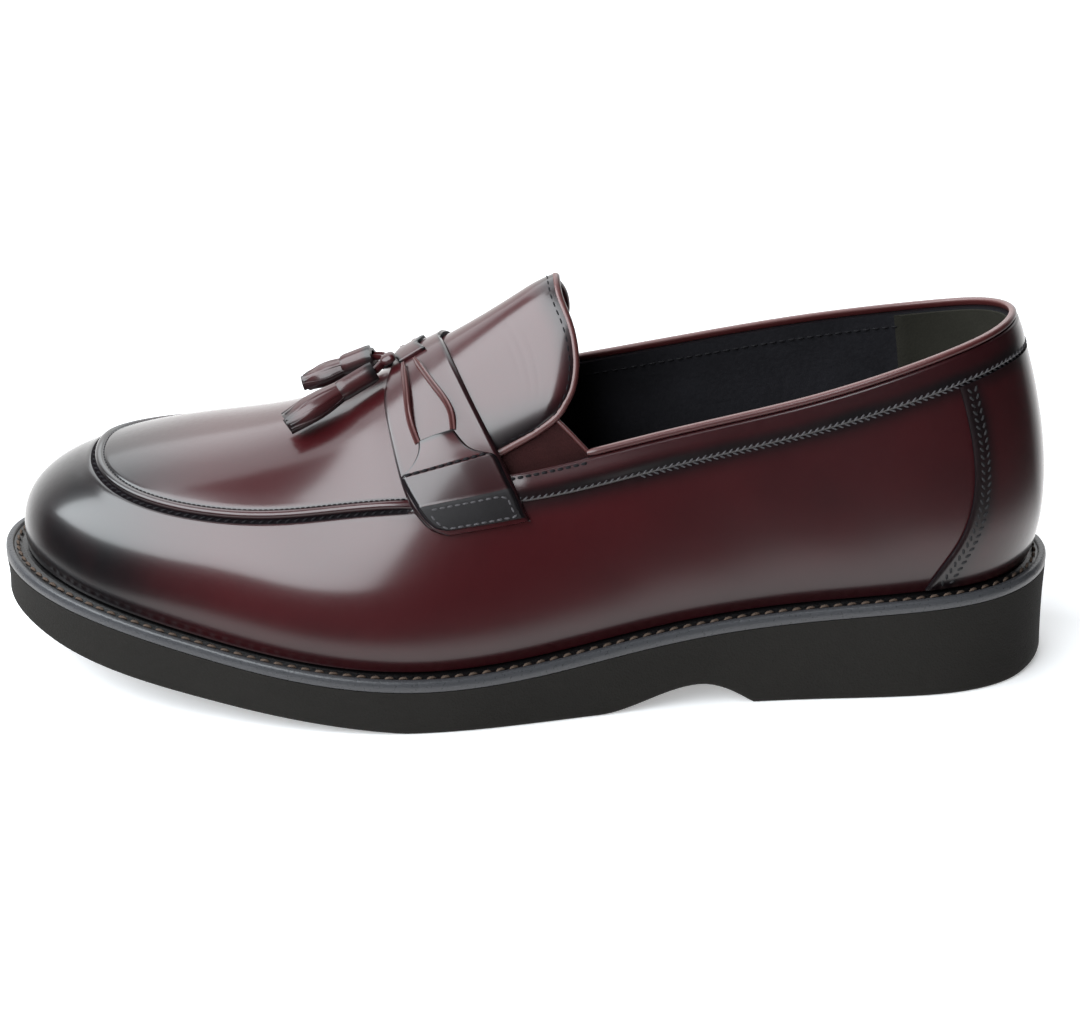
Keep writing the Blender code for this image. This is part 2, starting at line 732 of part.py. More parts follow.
def make_collar_band(finish):
    """The band sewn round the opening, from the strap round the heel to the strap."""
    columns = []
    for t in steps(-COLLAR_BAND_END, COLLAR_BAND_END, BAND_COLUMNS):
        low, high = seam_share(t), collar_share(t)
        columns.append([(t, v, GAP + OVERLAY) for v in steps(low, high, BAND_ROWS)])
    return sheet("collar_band", columns, OVERLAY, finish)


def make_heel_counter(finish):
    """The counter piece round the heel, below the collar band."""
    edge = Spline([c.share for c in COUNTER_EDGE], [[c.rib] for c in COUNTER_EDGE])
    columns = []
    for across in steps(-1.0, 1.0, COUNTER_COLUMNS):
        column = []
        for share in steps(COUNTER_FOOT_SHARE, 1.0, COUNTER_ROWS):
            t = across * float(edge(share)[0])
            top = seam_share(t) - COUNTER_SEAM_SHARE
            column.append((t, share * top, COUNTER_LIFT + OVERLAY))
        columns.append(column)
    return sheet("heel_counter", columns, OVERLAY, finish)


def make_collar_binding(finish):
    """The rolled binding along the edge of the opening."""
    rise = COLLAR_BINDING_RADIUS + GAP
    points = []
    for t in steps(-COLLAR_BINDING_END, COLLAR_BINDING_END, COLLAR_BINDING_STEPS):
        v = collar_share(t)
        up = on_rib(t, v + SHARE_STEP) - on_rib(t, v - SHARE_STEP)
        up /= np.linalg.norm(up)
        points.append(skin(t, v, (OVERLAY + GAP - WALL) / 2) + rise * up)
    return tube("collar_binding", points, COLLAR_BINDING_RADIUS, finish)


# Tongue

TONGUE_REAR = Spline([e.across for e in TONGUE_EDGE], [(e.rib, e.share) for e in TONGUE_EDGE])


def level_share(t, share):
    """A share measured on the lateral side, moved with the collar's height for the medial side."""
    if signed_rib(t) >= 0:
        return share
    lateral, medial = collar_share(AROUND - t % AROUND), collar_share(t)
    return medial + (share - lateral) / (1 - lateral) * (1 - medial)


def tongue_place(side, across, along):
    """Rib and share of a place on the tongue: across from the ridge down, along from front to back."""
    rib, share = TONGUE_REAR(across)
    front = 1 - across * (1 - TONGUE_FRONT_SHARE)
    t = side_rib(side, TONGUE_FRONT + along * (rib - TONGUE_FRONT))
    return t, level_share(t, front + along * (share - front))


def tongue_shares():
    half = TONGUE_ACROSS // 2
    down = [i / half for i in range(half + 1)]
    return [(1, a) for a in reversed(down)] + [(-1, a) for a in down[1:]]


def make_tongue(finish):
    """The tongue: the apron's leather carried on behind the strap, over the instep."""
    columns = []
    for side, share in tongue_shares():
        spots = [tongue_place(side, share, a) for a in steps(0.0, 1.0, TONGUE_ALONG)]
        columns.append([(t, v, TONGUE_LIFT) for t, v in spots])
    return sheet("tongue", columns, TONGUE_THICKNESS, finish)


def make_tongue_binding(finish):
    """The rolled binding along the tongue's free edge, from under the strap over the top and back."""
    away = TONGUE_BINDING_RADIUS + GAP
    lift = TONGUE_LIFT - TONGUE_THICKNESS / 2
    tucked = steps(TONGUE_BINDING_START, 1.0, TONGUE_BINDING_TUCK_STEPS)[:-1]
    edge = [(1, 1.0, along) for along in tucked]
    edge += [(side, across, 1.0) for side, across in tongue_shares()]
    edge += [(-1, 1.0, along) for along in reversed(tucked)]
    points = [skin(*tongue_place(*spot), lift) for spot in edge]
    moved = []
    for i, point in enumerate(points):
        before, after = points[max(i - 1, 0)], points[min(i + 1, len(points) - 1)]
        out = np.cross(after - before, skin_normal(*tongue_place(*edge[i])))
        moved.append(point + away * out / np.linalg.norm(out))
    route = even_points(moved, TONGUE_BINDING_SPACING)
    return tube("tongue_binding", route, TONGUE_BINDING_RADIUS, finish, resolution=1)


def make_gore(name, side, finish):
    """The elastic gusset under the tongue's edge and the quarter's edge, at one side."""
    edge = Spline([e.rib for e in GORE_EDGE], [[e.share] for e in GORE_EDGE])
    columns = []
    for t in steps(GORE_EDGE[0].rib, GORE_EDGE[-1].rib, GORE_COLUMNS):
        rib = side_rib(side, t)
        low = collar_share(rib)
        high = max(level_share(rib, float(edge(t)[0])), low + GORE_LEAST_SHARE)
        shares = steps(low - GORE_TUCK_SHARE, high, GORE_ROWS)
        columns.append([(rib, v, -GORE_DEPTH) for v in shares])
    if side < 0:
        columns.reverse()
    return sheet(name, columns, GORE_THICKNESS, finish)


# Strap, tie and tassels


def strap_lift(t):
    share = (t - STRAP_REAR) / (STRAP_FRONT - STRAP_REAR)
    return STRAP_REAR_LIFT + (STRAP_FRONT_LIFT - STRAP_REAR_LIFT) * share


def row_place(rows, down, across):
    """Rib and share of a place in a table of rows: down from 0 to 1, across from rear to front."""
    rear_rib, rear_share, front_rib, front_share = Spline(np.linspace(0, 1, len(rows)), rows)(down)
    return rear_rib + across * (front_rib - rear_rib), rear_share + across * (front_share - rear_share)


def on_strap(side, t, share, lift):
    """A place raised from the strap's underside."""
    return side_rib(side, t), share, strap_lift(t) + lift


def make_strap(finish):
    """The saddle strap across the instep, wider at its sewn ends."""
    columns = []
    for across in steps(0.0, 1.0, STRAP_STEPS_ACROSS):
        spots = [row_place(STRAP_ROWS, down, across) for down in steps(0.0, 1.0, STRAP_STEPS_DOWN)]
        lateral = [on_strap(1, t, v, STRAP_THICKNESS) for t, v in reversed(spots)]
        medial = [on_strap(-1, t, v, STRAP_THICKNESS) for t, v in spots[1:]]
        columns.append(lateral + medial)
    return sheet("strap", columns, STRAP_THICKNESS, finish)


def make_strap_tab(name, side, finish):
    """The tab sewn over one end of the strap; the thong leaves it at its narrow top."""
    lift = STRAP_THICKNESS + GAP + TAB_THICKNESS
    columns = []
    for across in steps(0.0, 1.0, STRAP_STEPS_ACROSS):
        spots = [row_place(TAB_ROWS, down, across) for down in steps(1.0, 0.0, STRAP_STEPS_DOWN)]
        columns.append([on_strap(side, t, v, lift) for t, v in spots])
    if side < 0:
        columns.reverse()
    return sheet(name, columns, TAB_THICKNESS, finish)


def make_thong(name, side, route, finish):
    """One strand of the tie, from the tab's top to the keeper, lying on the strap."""
    lift = STRAP_THICKNESS + GAP + THONG_RADIUS
    points = [skin(*on_strap(side, p.rib, p.share, lift)) for p in route]
    return tube(name, even_points(points, THONG_SPACING), THONG_RADIUS, finish)


def make_keeper(finish):
    """The band over the middle of the strap that holds the thong's strands together."""
    lift = STRAP_THICKNESS + GAP + KEEPER_THICKNESS
    down = steps(1.0, KEEPER_SHARE, KEEPER_STEPS_DOWN)
    columns = []
    for t in steps(KEEPER_REAR, KEEPER_FRONT, KEEPER_STEPS_ACROSS):
        lateral = [on_strap(1, t, v, lift) for v in reversed(down)]
        medial = [on_strap(-1, t, v, lift) for v in down[1:]]
        columns.append(lateral + medial)
    return sheet("tie_keeper", columns, KEEPER_THICKNESS, finish)


def tassel_frame(row):
    """Start, direction, side and up of a tassel that lies on the apron."""
    height = APRON_STEP + GAP + TASSEL_CAP_RADIUS + TASSEL_REST
    spots = [(side_rib(row.side, row.rib0), row.share0), (side_rib(row.side, row.rib1), row.share1)]
    start, end = [skin(t, v, height) for t, v in spots]
    along = (end - start) / np.linalg.norm(end - start)
    up = skin_normal(*spots[0]) + skin_normal(*spots[1])
    across = np.cross(up, along)
    across /= np.linalg.norm(across)
    return start, along, across, np.cross(along, across)


def make_loop(finish):
    """The thong in front of the keeper, bent from one tassel's cap to the other's."""
    frames = [tassel_frame(row) for row in TASSELS]
    lateral, medial = [start - LOOP_TO_CAP * along for start, along, _, _ in frames]
    middle = skin(LOOP_RIB, 1.0, LOOP_LIFT)
    route = even_points([lateral, middle, medial], LOOP_SPACING)
    return tube("tie_loop", route, LOOP_RADIUS, finish)


def make_tassel(row, cap_finish, skirt_finish):
    """A rolled cap with a skirt of cut strips, each fused to the next along its root."""
    start, along, across, up = tassel_frame(row)
    points = []
    for ring in CAP_RINGS:
        for i in range(CAP_SIDES):
            angle = 2 * math.pi * i / CAP_SIDES
            spread = np.cos(angle) * across + np.sin(angle) * up
            points.append(start + along * row.cap * ring.at + spread * TASSEL_CAP_RADIUS * ring.scale)
    add_loft(f"tassel_cap_{row.name}", points, CAP_SIDES, cap_finish)
    sides = TASSEL_STRIPS * SIDES_PER_STRIP
    root = start + along * (row.cap + GAP)
    neck = TASSEL_CAP_RADIUS * TASSEL_NECK
    points = []
    for share in SKIRT_RINGS:
        width = neck + (TASSEL_SKIRT_WIDTH - neck) * share
        height = neck + (TASSEL_SKIRT_HEIGHT - neck) * share
        for i in range(sides):
            angle = 2 * math.pi * i / sides
            notch = 1 - TASSEL_NOTCH * share if i % SIDES_PER_STRIP == 0 else 1.0
            spread = width * np.cos(angle) * across + height * np.sin(angle) * up
            points.append(root + along * row.skirt * share + notch * spread)
    add_loft(f"tassel_skirt_{row.name}", points, sides, skirt_finish)


def add_loft(name, points, sides, finish):
    """A closed solid through equal rings of points, capped at both ends."""
    rings = len(points) // sides
    faces = []
    for k in range(rings - 1):
        for i in range(sides):
            j = (i + 1) % sides
            faces.append((k * sides + i, k * sides + j, (k + 1) * sides + j, (k + 1) * sides + i))
    faces.append(tuple(reversed(range(sides))))
    faces.append(tuple(range((rings - 1) * sides, rings * sides)))
    return mesh_object(name, points, faces, finish)


def main():
    for old in list(bpy.data.objects):
        bpy.data.objects.remove(old)
    make_outsole(FOAM)
    make_welt(WELT)
    make_insole(LINING)
    make_upper(OXBLOOD)
    make_collar_band(OXBLOOD)
    make_heel_counter(OXBLOOD)
    make_collar_binding(BINDING)
    make_tongue(OXBLOOD)
    make_tongue_binding(BINDING)
    make_strap(OXBLOOD)
    make_keeper(BURNISHED)
    make_loop(BURNISHED)
    for side, word in ((1, "lateral"), (-1, "medial")):
        make_gore(f"gore_{word}", side, LINING)
        make_strap_tab(f"strap_tab_{word}", side, OXBLOOD)
        make_thong(f"thong_front_{word}", side, THONG_FRONT, BURNISHED)
        make_thong(f"thong_rear_{word}", side, THONG_REAR, BURNISHED)
    for row in TASSELS:
        make_tassel(row, OXBLOOD, BURNISHED)


main()
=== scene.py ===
"""Looks of a left tassel loafer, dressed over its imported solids.

Every piece is worked out from the same last as the solids. Tables are in millimetres: x runs from the
back of the heel towards the toe, y towards the outer side of the foot and z up from the floor.
"""

import math
from collections import namedtuple

import bmesh
import bpy
import numpy as np
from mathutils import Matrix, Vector


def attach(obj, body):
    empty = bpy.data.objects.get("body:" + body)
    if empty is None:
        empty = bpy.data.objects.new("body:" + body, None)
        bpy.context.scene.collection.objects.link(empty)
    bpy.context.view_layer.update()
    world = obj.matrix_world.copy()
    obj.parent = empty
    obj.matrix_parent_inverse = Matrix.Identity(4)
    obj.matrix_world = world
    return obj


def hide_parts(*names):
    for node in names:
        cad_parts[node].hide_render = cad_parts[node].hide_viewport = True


bl_info = {
    "name": "Tassel loafer looks",
    "version": (1, 0, 0),
    "blender": (4, 5, 0),
    "location": "View3D > Sidebar > Loafer",
    "description": "Leather, stitching, sole, tassels and studio of a tassel loafer",
    "category": "Object",
}

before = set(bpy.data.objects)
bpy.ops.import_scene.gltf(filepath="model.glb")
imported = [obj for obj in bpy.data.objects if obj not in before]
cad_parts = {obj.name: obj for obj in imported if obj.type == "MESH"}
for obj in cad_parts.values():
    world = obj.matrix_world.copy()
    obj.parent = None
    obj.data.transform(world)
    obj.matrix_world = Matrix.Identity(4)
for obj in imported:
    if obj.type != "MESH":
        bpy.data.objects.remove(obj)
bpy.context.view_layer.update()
BODY = "root"
MM = 0.001

# Sizes shared with the solids, in millimetres
WALL = 1.8
GAP = 0.3
WELT_WIDTH = 6.2
WELT_THICKNESS = 3.4
WELT_INNER = 9.0
STITCH_GROOVE_DEPTH = 0.7
STITCH_GROOVE_FROM_EDGE = 2.0
STITCH_GROOVE_WIDTH = 2.8
SOLE_TAPER = 0.8
SOLE_EDGE_ROUND = 1.2
INSOLE_THICKNESS = 3.0
INSOLE_CLEARANCE = 2.2
OVERLAY = 1.1
TONGUE_THICKNESS = 2.1
TONGUE_LIFT = 0.5
GORE_THICKNESS = 1.1
GORE_DEPTH = 2.15
STRAP_THICKNESS = 1.6
STRAP_FRONT_LIFT = 0.95
STRAP_REAR_LIFT = 1.5
TAB_THICKNESS = 1.1
THONG_RADIUS = 1.05
TASSEL_CAP_RADIUS = 3.6
TASSEL_SKIRT_WIDTH = 5.2
TASSEL_SKIRT_HEIGHT = 3.2
TASSEL_REST = 0.6
APRON_STEP = 0.6

# The last: one row for each rib, from the back of the heel to the tip of the toe
Rib = namedtuple("Rib", "name lateral_x lateral_y medial_x medial_y top_x swell rise crown")
RIBS = (
    Rib("heel back", 5.5, 0.0, 5.5, 0.0, 46.0, 14.5, 0.26, 0.60),
    Rib("heel turn", 12.0, 17.0, 12.0, -15.8, 48.0, 11.8, 0.27, 0.60),
    Rib("heel side", 32.0, 28.0, 31.0, -26.6, 56.0, 7.8, 0.30, 0.60),
    Rib("seat front", 68.0, 30.2, 68.0, -28.2, 88.0, 6.0, 0.34, 0.60),
    Rib("waist", 108.0, 34.0, 108.0, -29.0, 136.0, 5.0, 0.48, 0.54),
    Rib("instep", 146.0, 42.6, 146.0, -34.0, 170.5, 4.5, 0.53, 0.48),
    Rib("joint", 179.0, 48.8, 181.0, -42.4, 191.0, 5.0, 0.53, 0.50),
    Rib("ball", 212.0, 47.0, 214.0, -47.0, 217.0, 5.5, 0.56, 0.54),
    Rib("toe side", 242.0, 38.8, 247.0, -44.0, 235.0, 5.8, 0.63, 0.58),
    Rib("toe turn", 273.2, 22.8, 282.0, -36.5, 244.0, 3.4, 0.60, 0.56),
    Rib("toe tip", 292.2, -9.5, 292.2, -9.5, 247.0, 5.0, 0.62, 0.58),
)
TOE = len(RIBS) - 1
AROUND = 2 * TOE

Ridge = namedtuple("Ridge", "x y z")
RIDGE = (
    Ridge(40, 0, 152),
    Ridge(70, 0, 151),
    Ridge(100, 0, 141),
    Ridge(136, 0, 120.6),
    Ridge(160, 0, 104.6),
    Ridge(180, -1, 92.2),
    Ridge(200, -2, 80.8),
    Ridge(220, -4, 74.0),
    Ridge(240, -7, 70.0),
    Ridge(252, -8, 67.7),
)

# Heights along the foot: bed is the welt's top, tread the underside
Bed = namedtuple("Bed", "x z")
BED = (
    Bed(0, 32.0),
    Bed(30, 30.6),
    Bed(60, 28.8),
    Bed(90, 26.3),
    Bed(120, 22.3),
    Bed(145, 18.6),
    Bed(165, 16.9),
    Bed(185, 16.7),
    Bed(205, 18.2),
    Bed(230, 21.9),
    Bed(255, 26.6),
    Bed(275, 29.9),
    Bed(298, 31.8),
)
HEEL_BREAST_X = 86.0
ARCH_FRONT_X = 130.0
ARCH_HEIGHT = 6.5
ARCH_CREST_X = 101.0
SPRING_START_X = 184.0
TOE_SPRING = 17.0
SPRING_CURVE = 1.2
SOLE_TIP_X = 298.0
HEEL_BEVEL_X = 12.0
HEEL_BEVEL_HEIGHT = 2.0

# Heights of the apron's seam, carried on as the collar band's lower edge, and of the collar
Line = namedtuple("Line", "name seam_lateral seam_medial collar_lateral collar_medial")
LINES = (
    Line("heel back", 94.4, 94.4, 103.0, 103.0),
    Line("heel turn", 94.3, 93.0, 102.2, 100.9),
    Line("heel side", 89.6, 88.6, 97.8, 96.6),
    Line("seat front", 79.2, 83.4, 87.4, 91.9),
    Line("waist", 70.2, 76.2, 78.4, 85.0),
    Line("instep", 63.0, 69.6, 70.4, 78.2),
    Line("joint", 62.2, 67.0, 68.0, 73.2),
    Line("ball", 58.5, 62.6, 0.0, 0.0),
    Line("toe side", 57.4, 62.0, 0.0, 0.0),
    Line("toe turn", 58.9, 62.0, 0.0, 0.0),
    Line("toe tip", 62.1, 62.1, 0.0, 0.0),
)
LAST_COLLAR_ROW = 6
THROAT = 5.45
THROAT_CLEARANCE = 0.02
MIDDLE_BLEND = 2.5
MIDDLE_SHARE = 0.45
COLLAR_BINDING_END = 4.48
COLLAR_BAND_END = 5.16
BAND_FADE = 4.95
APRON_FADE_START = 5.75
APRON_FADE_END = 6.30

CounterEdge = namedtuple("CounterEdge", "share rib")
COUNTER_EDGE = (
    CounterEdge(0.00, 2.18),
    CounterEdge(0.15, 2.05),
    CounterEdge(0.30, 1.88),
    CounterEdge(0.50, 1.74),
    CounterEdge(1.00, 1.79),
)
COUNTER_FOOT_SHARE = 0.015
COUNTER_SEAM_SHARE = 0.003

Row = namedtuple("Row", "rear_rib rear_share front_rib front_share")
STRAP_ROWS = (
    Row(5.080, 1.000, 5.720, 1.000),
    Row(5.160, 0.900, 5.930, 0.900),
    Row(5.210, 0.800, 6.050, 0.800),
    Row(5.215, 0.670, 6.080, 0.670),
    Row(5.165, 0.540, 6.075, 0.560),
    Row(5.110, 0.450, 6.040, 0.480),
    Row(5.070, 0.385, 5.970, 0.420),
    Row(5.045, 0.345, 5.870, 0.375),
    Row(5.020, 0.320, 5.740, 0.349),
)
STRAP_REAR = 5.0
STRAP_FRONT = 6.1
TAB_ROWS = (
    Row(5.470, 0.609, 5.830, 0.618),
    Row(5.430, 0.575, 5.860, 0.585),
    Row(5.365, 0.540, 5.950, 0.555),
    Row(5.250, 0.515, 6.040, 0.540),
    Row(5.170, 0.495, 6.050, 0.520),
    Row(5.140, 0.450, 6.010, 0.475),
    Row(5.095, 0.385, 5.935, 0.418),
    Row(5.075, 0.350, 5.840, 0.378),
    Row(5.060, 0.333, 5.730, 0.361),
)

TongueEdge = namedtuple("TongueEdge", "across rib share")
TONGUE_EDGE = (
    TongueEdge(0.00, 4.130, 1.000),
    TongueEdge(0.20, 4.275, 0.850),
    TongueEdge(0.38, 4.335, 0.730),
    TongueEdge(0.53, 4.390, 0.645),
    TongueEdge(0.65, 4.440, 0.600),
    TongueEdge(0.76, 4.505, 0.565),
    TongueEdge(0.86, 4.580, 0.542),
    TongueEdge(0.94, 4.680, 0.524),
    TongueEdge(1.00, 4.850, 0.514),
)
TONGUE_FRONT_SHARE = 0.50
TONGUE_FRONT = THROAT - THROAT_CLEARANCE
TONGUE_BINDING_START = 0.45

GoreEdge = namedtuple("GoreEdge", "rib share")
GORE_EDGE = (
    GoreEdge(4.50, 0.415),
    GoreEdge(4.58, 0.470),
    GoreEdge(4.66, 0.525),
    GoreEdge(5.20, 0.525),
)
GORE_LEAST_SHARE = 0.01
GORE_TUCK_SHARE = 0.05

ThongPoint = namedtuple("ThongPoint", "rib share")
THONG_FRONT = (
    ThongPoint(5.835, 0.636),
    ThongPoint(5.845, 0.680),
    ThongPoint(5.790, 0.775),
    ThongPoint(5.665, 0.915),
)
THONG_REAR = (
    ThongPoint(5.475, 0.630),
    ThongPoint(5.440, 0.650),
    ThongPoint(5.480, 0.740),
    ThongPoint(5.525, 0.905),
)
KEEPER_REAR = 5.34
KEEPER_FRONT = 5.70
KEEPER_SHARE = 0.935
KEEPER_THICKNESS = 2.0
LOOP_RIB = 5.79
LOOP_LIFT = 4.4

Tassel = namedtuple("Tassel", "name side rib0 share0 rib1 share1 cap skirt")
TASSELS = (
    Tassel("lateral", 1, 5.99, 0.925, 7.08, 0.805, 11.5, 19.5),
    Tassel("medial", -1, 5.97, 0.940, 6.78, 0.905, 9.5, 14.0),
)
SIDES = (("lateral", 1), ("medial", -1))

# Small steps for slopes, and limits of the numbers' precision
RIB_STEP = 0.02
SHARE_STEP = 0.01
RIDGE_STEP = 0.5
NORMAL_TOP_SHARE = 0.985
HALVINGS = 30
TINY = 1e-9


class Spline:
    """A cubic curve through the rows of a table, with free ends or closed on itself."""

    def __init__(self, knots, rows, closed=False):
        self.knots = np.asarray(knots, float)
        self.rows = np.asarray(rows, float)
        step = np.diff(self.knots)
        slope = np.diff(self.rows, axis=0) / step[:, None]
        count = len(self.knots)
        matrix = np.zeros((count, count))
        right = np.zeros_like(self.rows)
        for i in range(1, count - 1):
            matrix[i, i - 1 : i + 2] = step[i - 1], 2 * (step[i - 1] + step[i]), step[i]
            right[i] = 6 * (slope[i] - slope[i - 1])
        if closed:
            matrix[0, [0, -1]] = 1, -1
            matrix[-1, [0, 1, -2, -1]] = 2 * step[0], step[0], step[-1], 2 * step[-1]
            right[-1] = 6 * (slope[0] - slope[-1])
        else:
            matrix[0, 0] = matrix[-1, -1] = 1
        self.bend = np.linalg.solve(matrix, right)

    def __call__(self, at):
        at = np.asarray(at, float)
        i = np.clip(np.searchsorted(self.knots, at, "right") - 1, 0, len(self.knots) - 2)
        step = (self.knots[i + 1] - self.knots[i])[..., None]
        b = (at - self.knots[i])[..., None] / step
        a = 1 - b
        curve = (a**3 - a) * self.bend[i] + (b**3 - b) * self.bend[i + 1]
        return a * self.rows[i] + b * self.rows[i + 1] + curve * step * step / 6


def both_sides(lateral, medial):
    """Rows of one closed loop: heel back, lateral side, toe tip, medial side, heel back."""
    return list(lateral) + list(reversed(medial))[1:]


RIB_LOOP = Spline(
    range(AROUND + 1),
    both_sides(
        [(r.lateral_x, r.lateral_y, r.top_x, r.swell, r.rise, r.crown) for r in RIBS],
        [(r.medial_x, r.medial_y, r.top_x, r.swell, r.rise, r.crown) for r in RIBS],
    ),
    closed=True,
)
SEAM_LOOP = Spline(
    range(AROUND + 1),
    both_sides([[r.seam_lateral] for r in LINES], [[r.seam_medial] for r in LINES]),
    closed=True,
)
COLLAR_ROWS = both_sides(
    list(reversed([[r.collar_medial] for r in LINES[: LAST_COLLAR_ROW + 1]])),
    list(reversed([[r.collar_lateral] for r in LINES[: LAST_COLLAR_ROW + 1]])),
)
COLLAR_LINE = Spline(range(-LAST_COLLAR_ROW, LAST_COLLAR_ROW + 1), COLLAR_ROWS)
RIDGE_LINE = Spline([r.x for r in RIDGE], [(r.y, r.z) for r in RIDGE])
BED_LINE = Spline([b.x for b in BED], [[b.z] for b in BED])
TONGUE_REAR = Spline([e.across for e in TONGUE_EDGE], [(e.rib, e.share) for e in TONGUE_EDGE])
COUNTER_LINE = Spline([c.share for c in COUNTER_EDGE], [[c.rib] for c in COUNTER_EDGE])
GORE_LINE = Spline([e.rib for e in GORE_EDGE], [[e.share] for e in GORE_EDGE])


# The last


def smooth_step(low, high, x):
    share = np.clip((np.asarray(x, float) - low) / (high - low), 0.0, 1.0)
    return share * share * (3 - 2 * share)


def unit(vectors):
    return vectors / np.maximum(np.linalg.norm(vectors, axis=-1, keepdims=True), TINY)


def bed_height(x):
    return BED_LINE(x)[..., 0]


def tread_height(x):
    """Underside of the sole: flat heel, scooped arch, flat ball, sprung toe, bevelled heel back."""
    x = np.asarray(x, float)
    arch_up = smooth_step(HEEL_BREAST_X, ARCH_CREST_X, x)
    arch_down = 1 - smooth_step(ARCH_CREST_X, ARCH_FRONT_X, x)
    arch = ARCH_HEIGHT * np.sqrt(arch_up) * arch_down
    ahead = np.maximum((x - SPRING_START_X) / (SOLE_TIP_X - SPRING_START_X), 0.0)
    bevel = HEEL_BEVEL_HEIGHT * np.maximum(1 - x / HEEL_BEVEL_X, 0.0) ** 2
    return arch + TOE_SPRING * ahead**SPRING_CURVE + bevel


def rib_handles(t):
    """The four points of each rib's cubic curve."""
    foot_x, foot_y, top_x, swell, rise, crown = np.moveaxis(RIB_LOOP(np.mod(t, AROUND)), -1, 0)
    top_y, top_z = np.moveaxis(RIDGE_LINE(top_x), -1, 0)
    foot = np.stack([foot_x, foot_y, bed_height(foot_x) + GAP], -1)
    top = np.stack([top_x, top_y, top_z], -1)
    out = np.stack([foot_x - top_x, foot_y - top_y, np.zeros_like(foot_x)], -1)
    ridge_rise = RIDGE_LINE(top_x + RIDGE_STEP)[..., 1] - RIDGE_LINE(top_x - RIDGE_STEP)[..., 1]
    low = foot + unit(out) * swell[..., None]
    low[..., 2] += rise * (top_z - foot[..., 2])
    high = top + crown[..., None] * out
    high[..., 2] += ridge_rise / (2 * RIDGE_STEP) * crown * out[..., 0]
    return foot, low, high, top


def on_rib(t, v):
    t, v = np.broadcast_arrays(np.asarray(t, float), np.asarray(v, float))
    foot, low, high, top = rib_handles(t)
    v = v[..., None]
    u = 1 - v
    return u**3 * foot + 3 * u * u * v * low + 3 * u * v * v * high + v**3 * top


def skin_normal(t, v):
    """Outward direction of the last at a place; kept off the ridge, where ribs run together."""
    v = np.clip(v, SHARE_STEP, NORMAL_TOP_SHARE - SHARE_STEP)
    along = on_rib(t + RIB_STEP, v) - on_rib(t - RIB_STEP, v)
    up = on_rib(t, v + SHARE_STEP) - on_rib(t, v - SHARE_STEP)
    return unit(np.cross(up, along))


def skin(t, v, lift=0.0):
    """Points of the upper's outer face, raised along its normal."""
    t = np.asarray(t, float)
    return on_rib(t, v) + np.asarray(lift, float)[..., None] * skin_normal(t, v)


def share_at_height(t, z):
    """How far up its rib the height z is reached."""
    low = np.zeros(np.shape(t))
    high = np.ones(np.shape(t))
    for _ in range(HALVINGS):
        middle = (low + high) / 2
        below = on_rib(t, middle)[..., 2] < z
        low = np.where(below, middle, low)
        high = np.where(below, high, middle)
    return (low + high) / 2


def share_per_mm(t, v):
    """Share of a rib that one millimetre takes at a place."""
    rise = on_rib(t, v + SHARE_STEP) - on_rib(t, v - SHARE_STEP)
    return 2 * SHARE_STEP / np.linalg.norm(rise, axis=-1)


def signed_rib(t):
    """Rib numbers counted from the heel: positive on the lateral side, negative on the medial."""
    t = np.mod(t, AROUND)
    return np.where(t <= TOE, t, t - AROUND)


def seam_share(t):
    return share_at_height(t, SEAM_LOOP(np.mod(t, AROUND))[..., 0])


def collar_share(t):
    return share_at_height(t, COLLAR_LINE(signed_rib(t))[..., 0])


def side_rib(side, t):
    """A rib counted from the heel, on the lateral (+1) or the medial (-1) side."""
    return np.where(np.asarray(side) > 0, t, AROUND - t)


def level_share(t, share):
    """A share measured on the lateral side, moved with the collar's height on the medial side."""
    lateral, medial = collar_share(AROUND - np.mod(t, AROUND)), collar_share(t)
    moved = medial + (share - lateral) / (1 - lateral) * (1 - medial)
    return np.where(signed_rib(t) >= 0, share, moved)


def outline(t, out):
    """The shoe's plan outline: the upper's foot moved outwards by a distance."""
    foot = RIB_LOOP(np.mod(t, AROUND))[..., :2]
    ahead = RIB_LOOP(np.mod(t + RIB_STEP, AROUND))[..., :2] - RIB_LOOP(np.mod(t - RIB_STEP, AROUND))[..., :2]
    normal = unit(np.stack([-ahead[..., 1], ahead[..., 0]], -1))
    return foot + out * normal


CAD_RIB_PITCH = 0.25  # of the solids' plan outline
CAD_LOOP = np.arange(0, AROUND, CAD_RIB_PITCH)
WELT_EDGE = outline(CAD_LOOP, WELT_WIDTH)
ORIGIN = np.append((WELT_EDGE.max(0) + WELT_EDGE.min(0)) / 2, 0.0)


# Meshes

SHARP_DEGREES = 55.0
OUTSIDE, INSIDE, RIM = 0, 1, 2  # numbers of a wall's materials


def mesh_piece(name, points, faces, materials, slot, replaces=(), parts=None, **attributes):
    """A piece from points in table millimetres. parts gives each face's material number."""
    mesh = bpy.data.meshes.new(name)
    mesh.from_pydata((np.asarray(points) - ORIGIN) * MM, [], [tuple(map(int, f)) for f in faces])
    for material in materials:
        mesh.materials.append(material)
    if parts is not None:
        mesh.polygons.foreach_set("material_index", np.asarray(parts, np.int32))
    for key, values in attributes.items():
        spread = np.broadcast_to(np.asarray(values, np.float32), len(points))
        mesh.attributes.new(key, "FLOAT", "POINT").data.foreach_set("value", np.ascontiguousarray(spread))
    work = bmesh.new()
    work.from_mesh(mesh)
    bmesh.ops.recalc_face_normals(work, faces=work.faces)
    work.to_mesh(mesh)
    work.free()
    mesh.shade_smooth()
    mesh.set_sharp_from_angle(angle=math.radians(SHARP_DEGREES))
    piece = bpy.data.objects.new(name, mesh)
    bpy.context.scene.collection.objects.link(piece)
    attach(piece, BODY)
    if replaces:
        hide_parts(*replaces)
    return piece


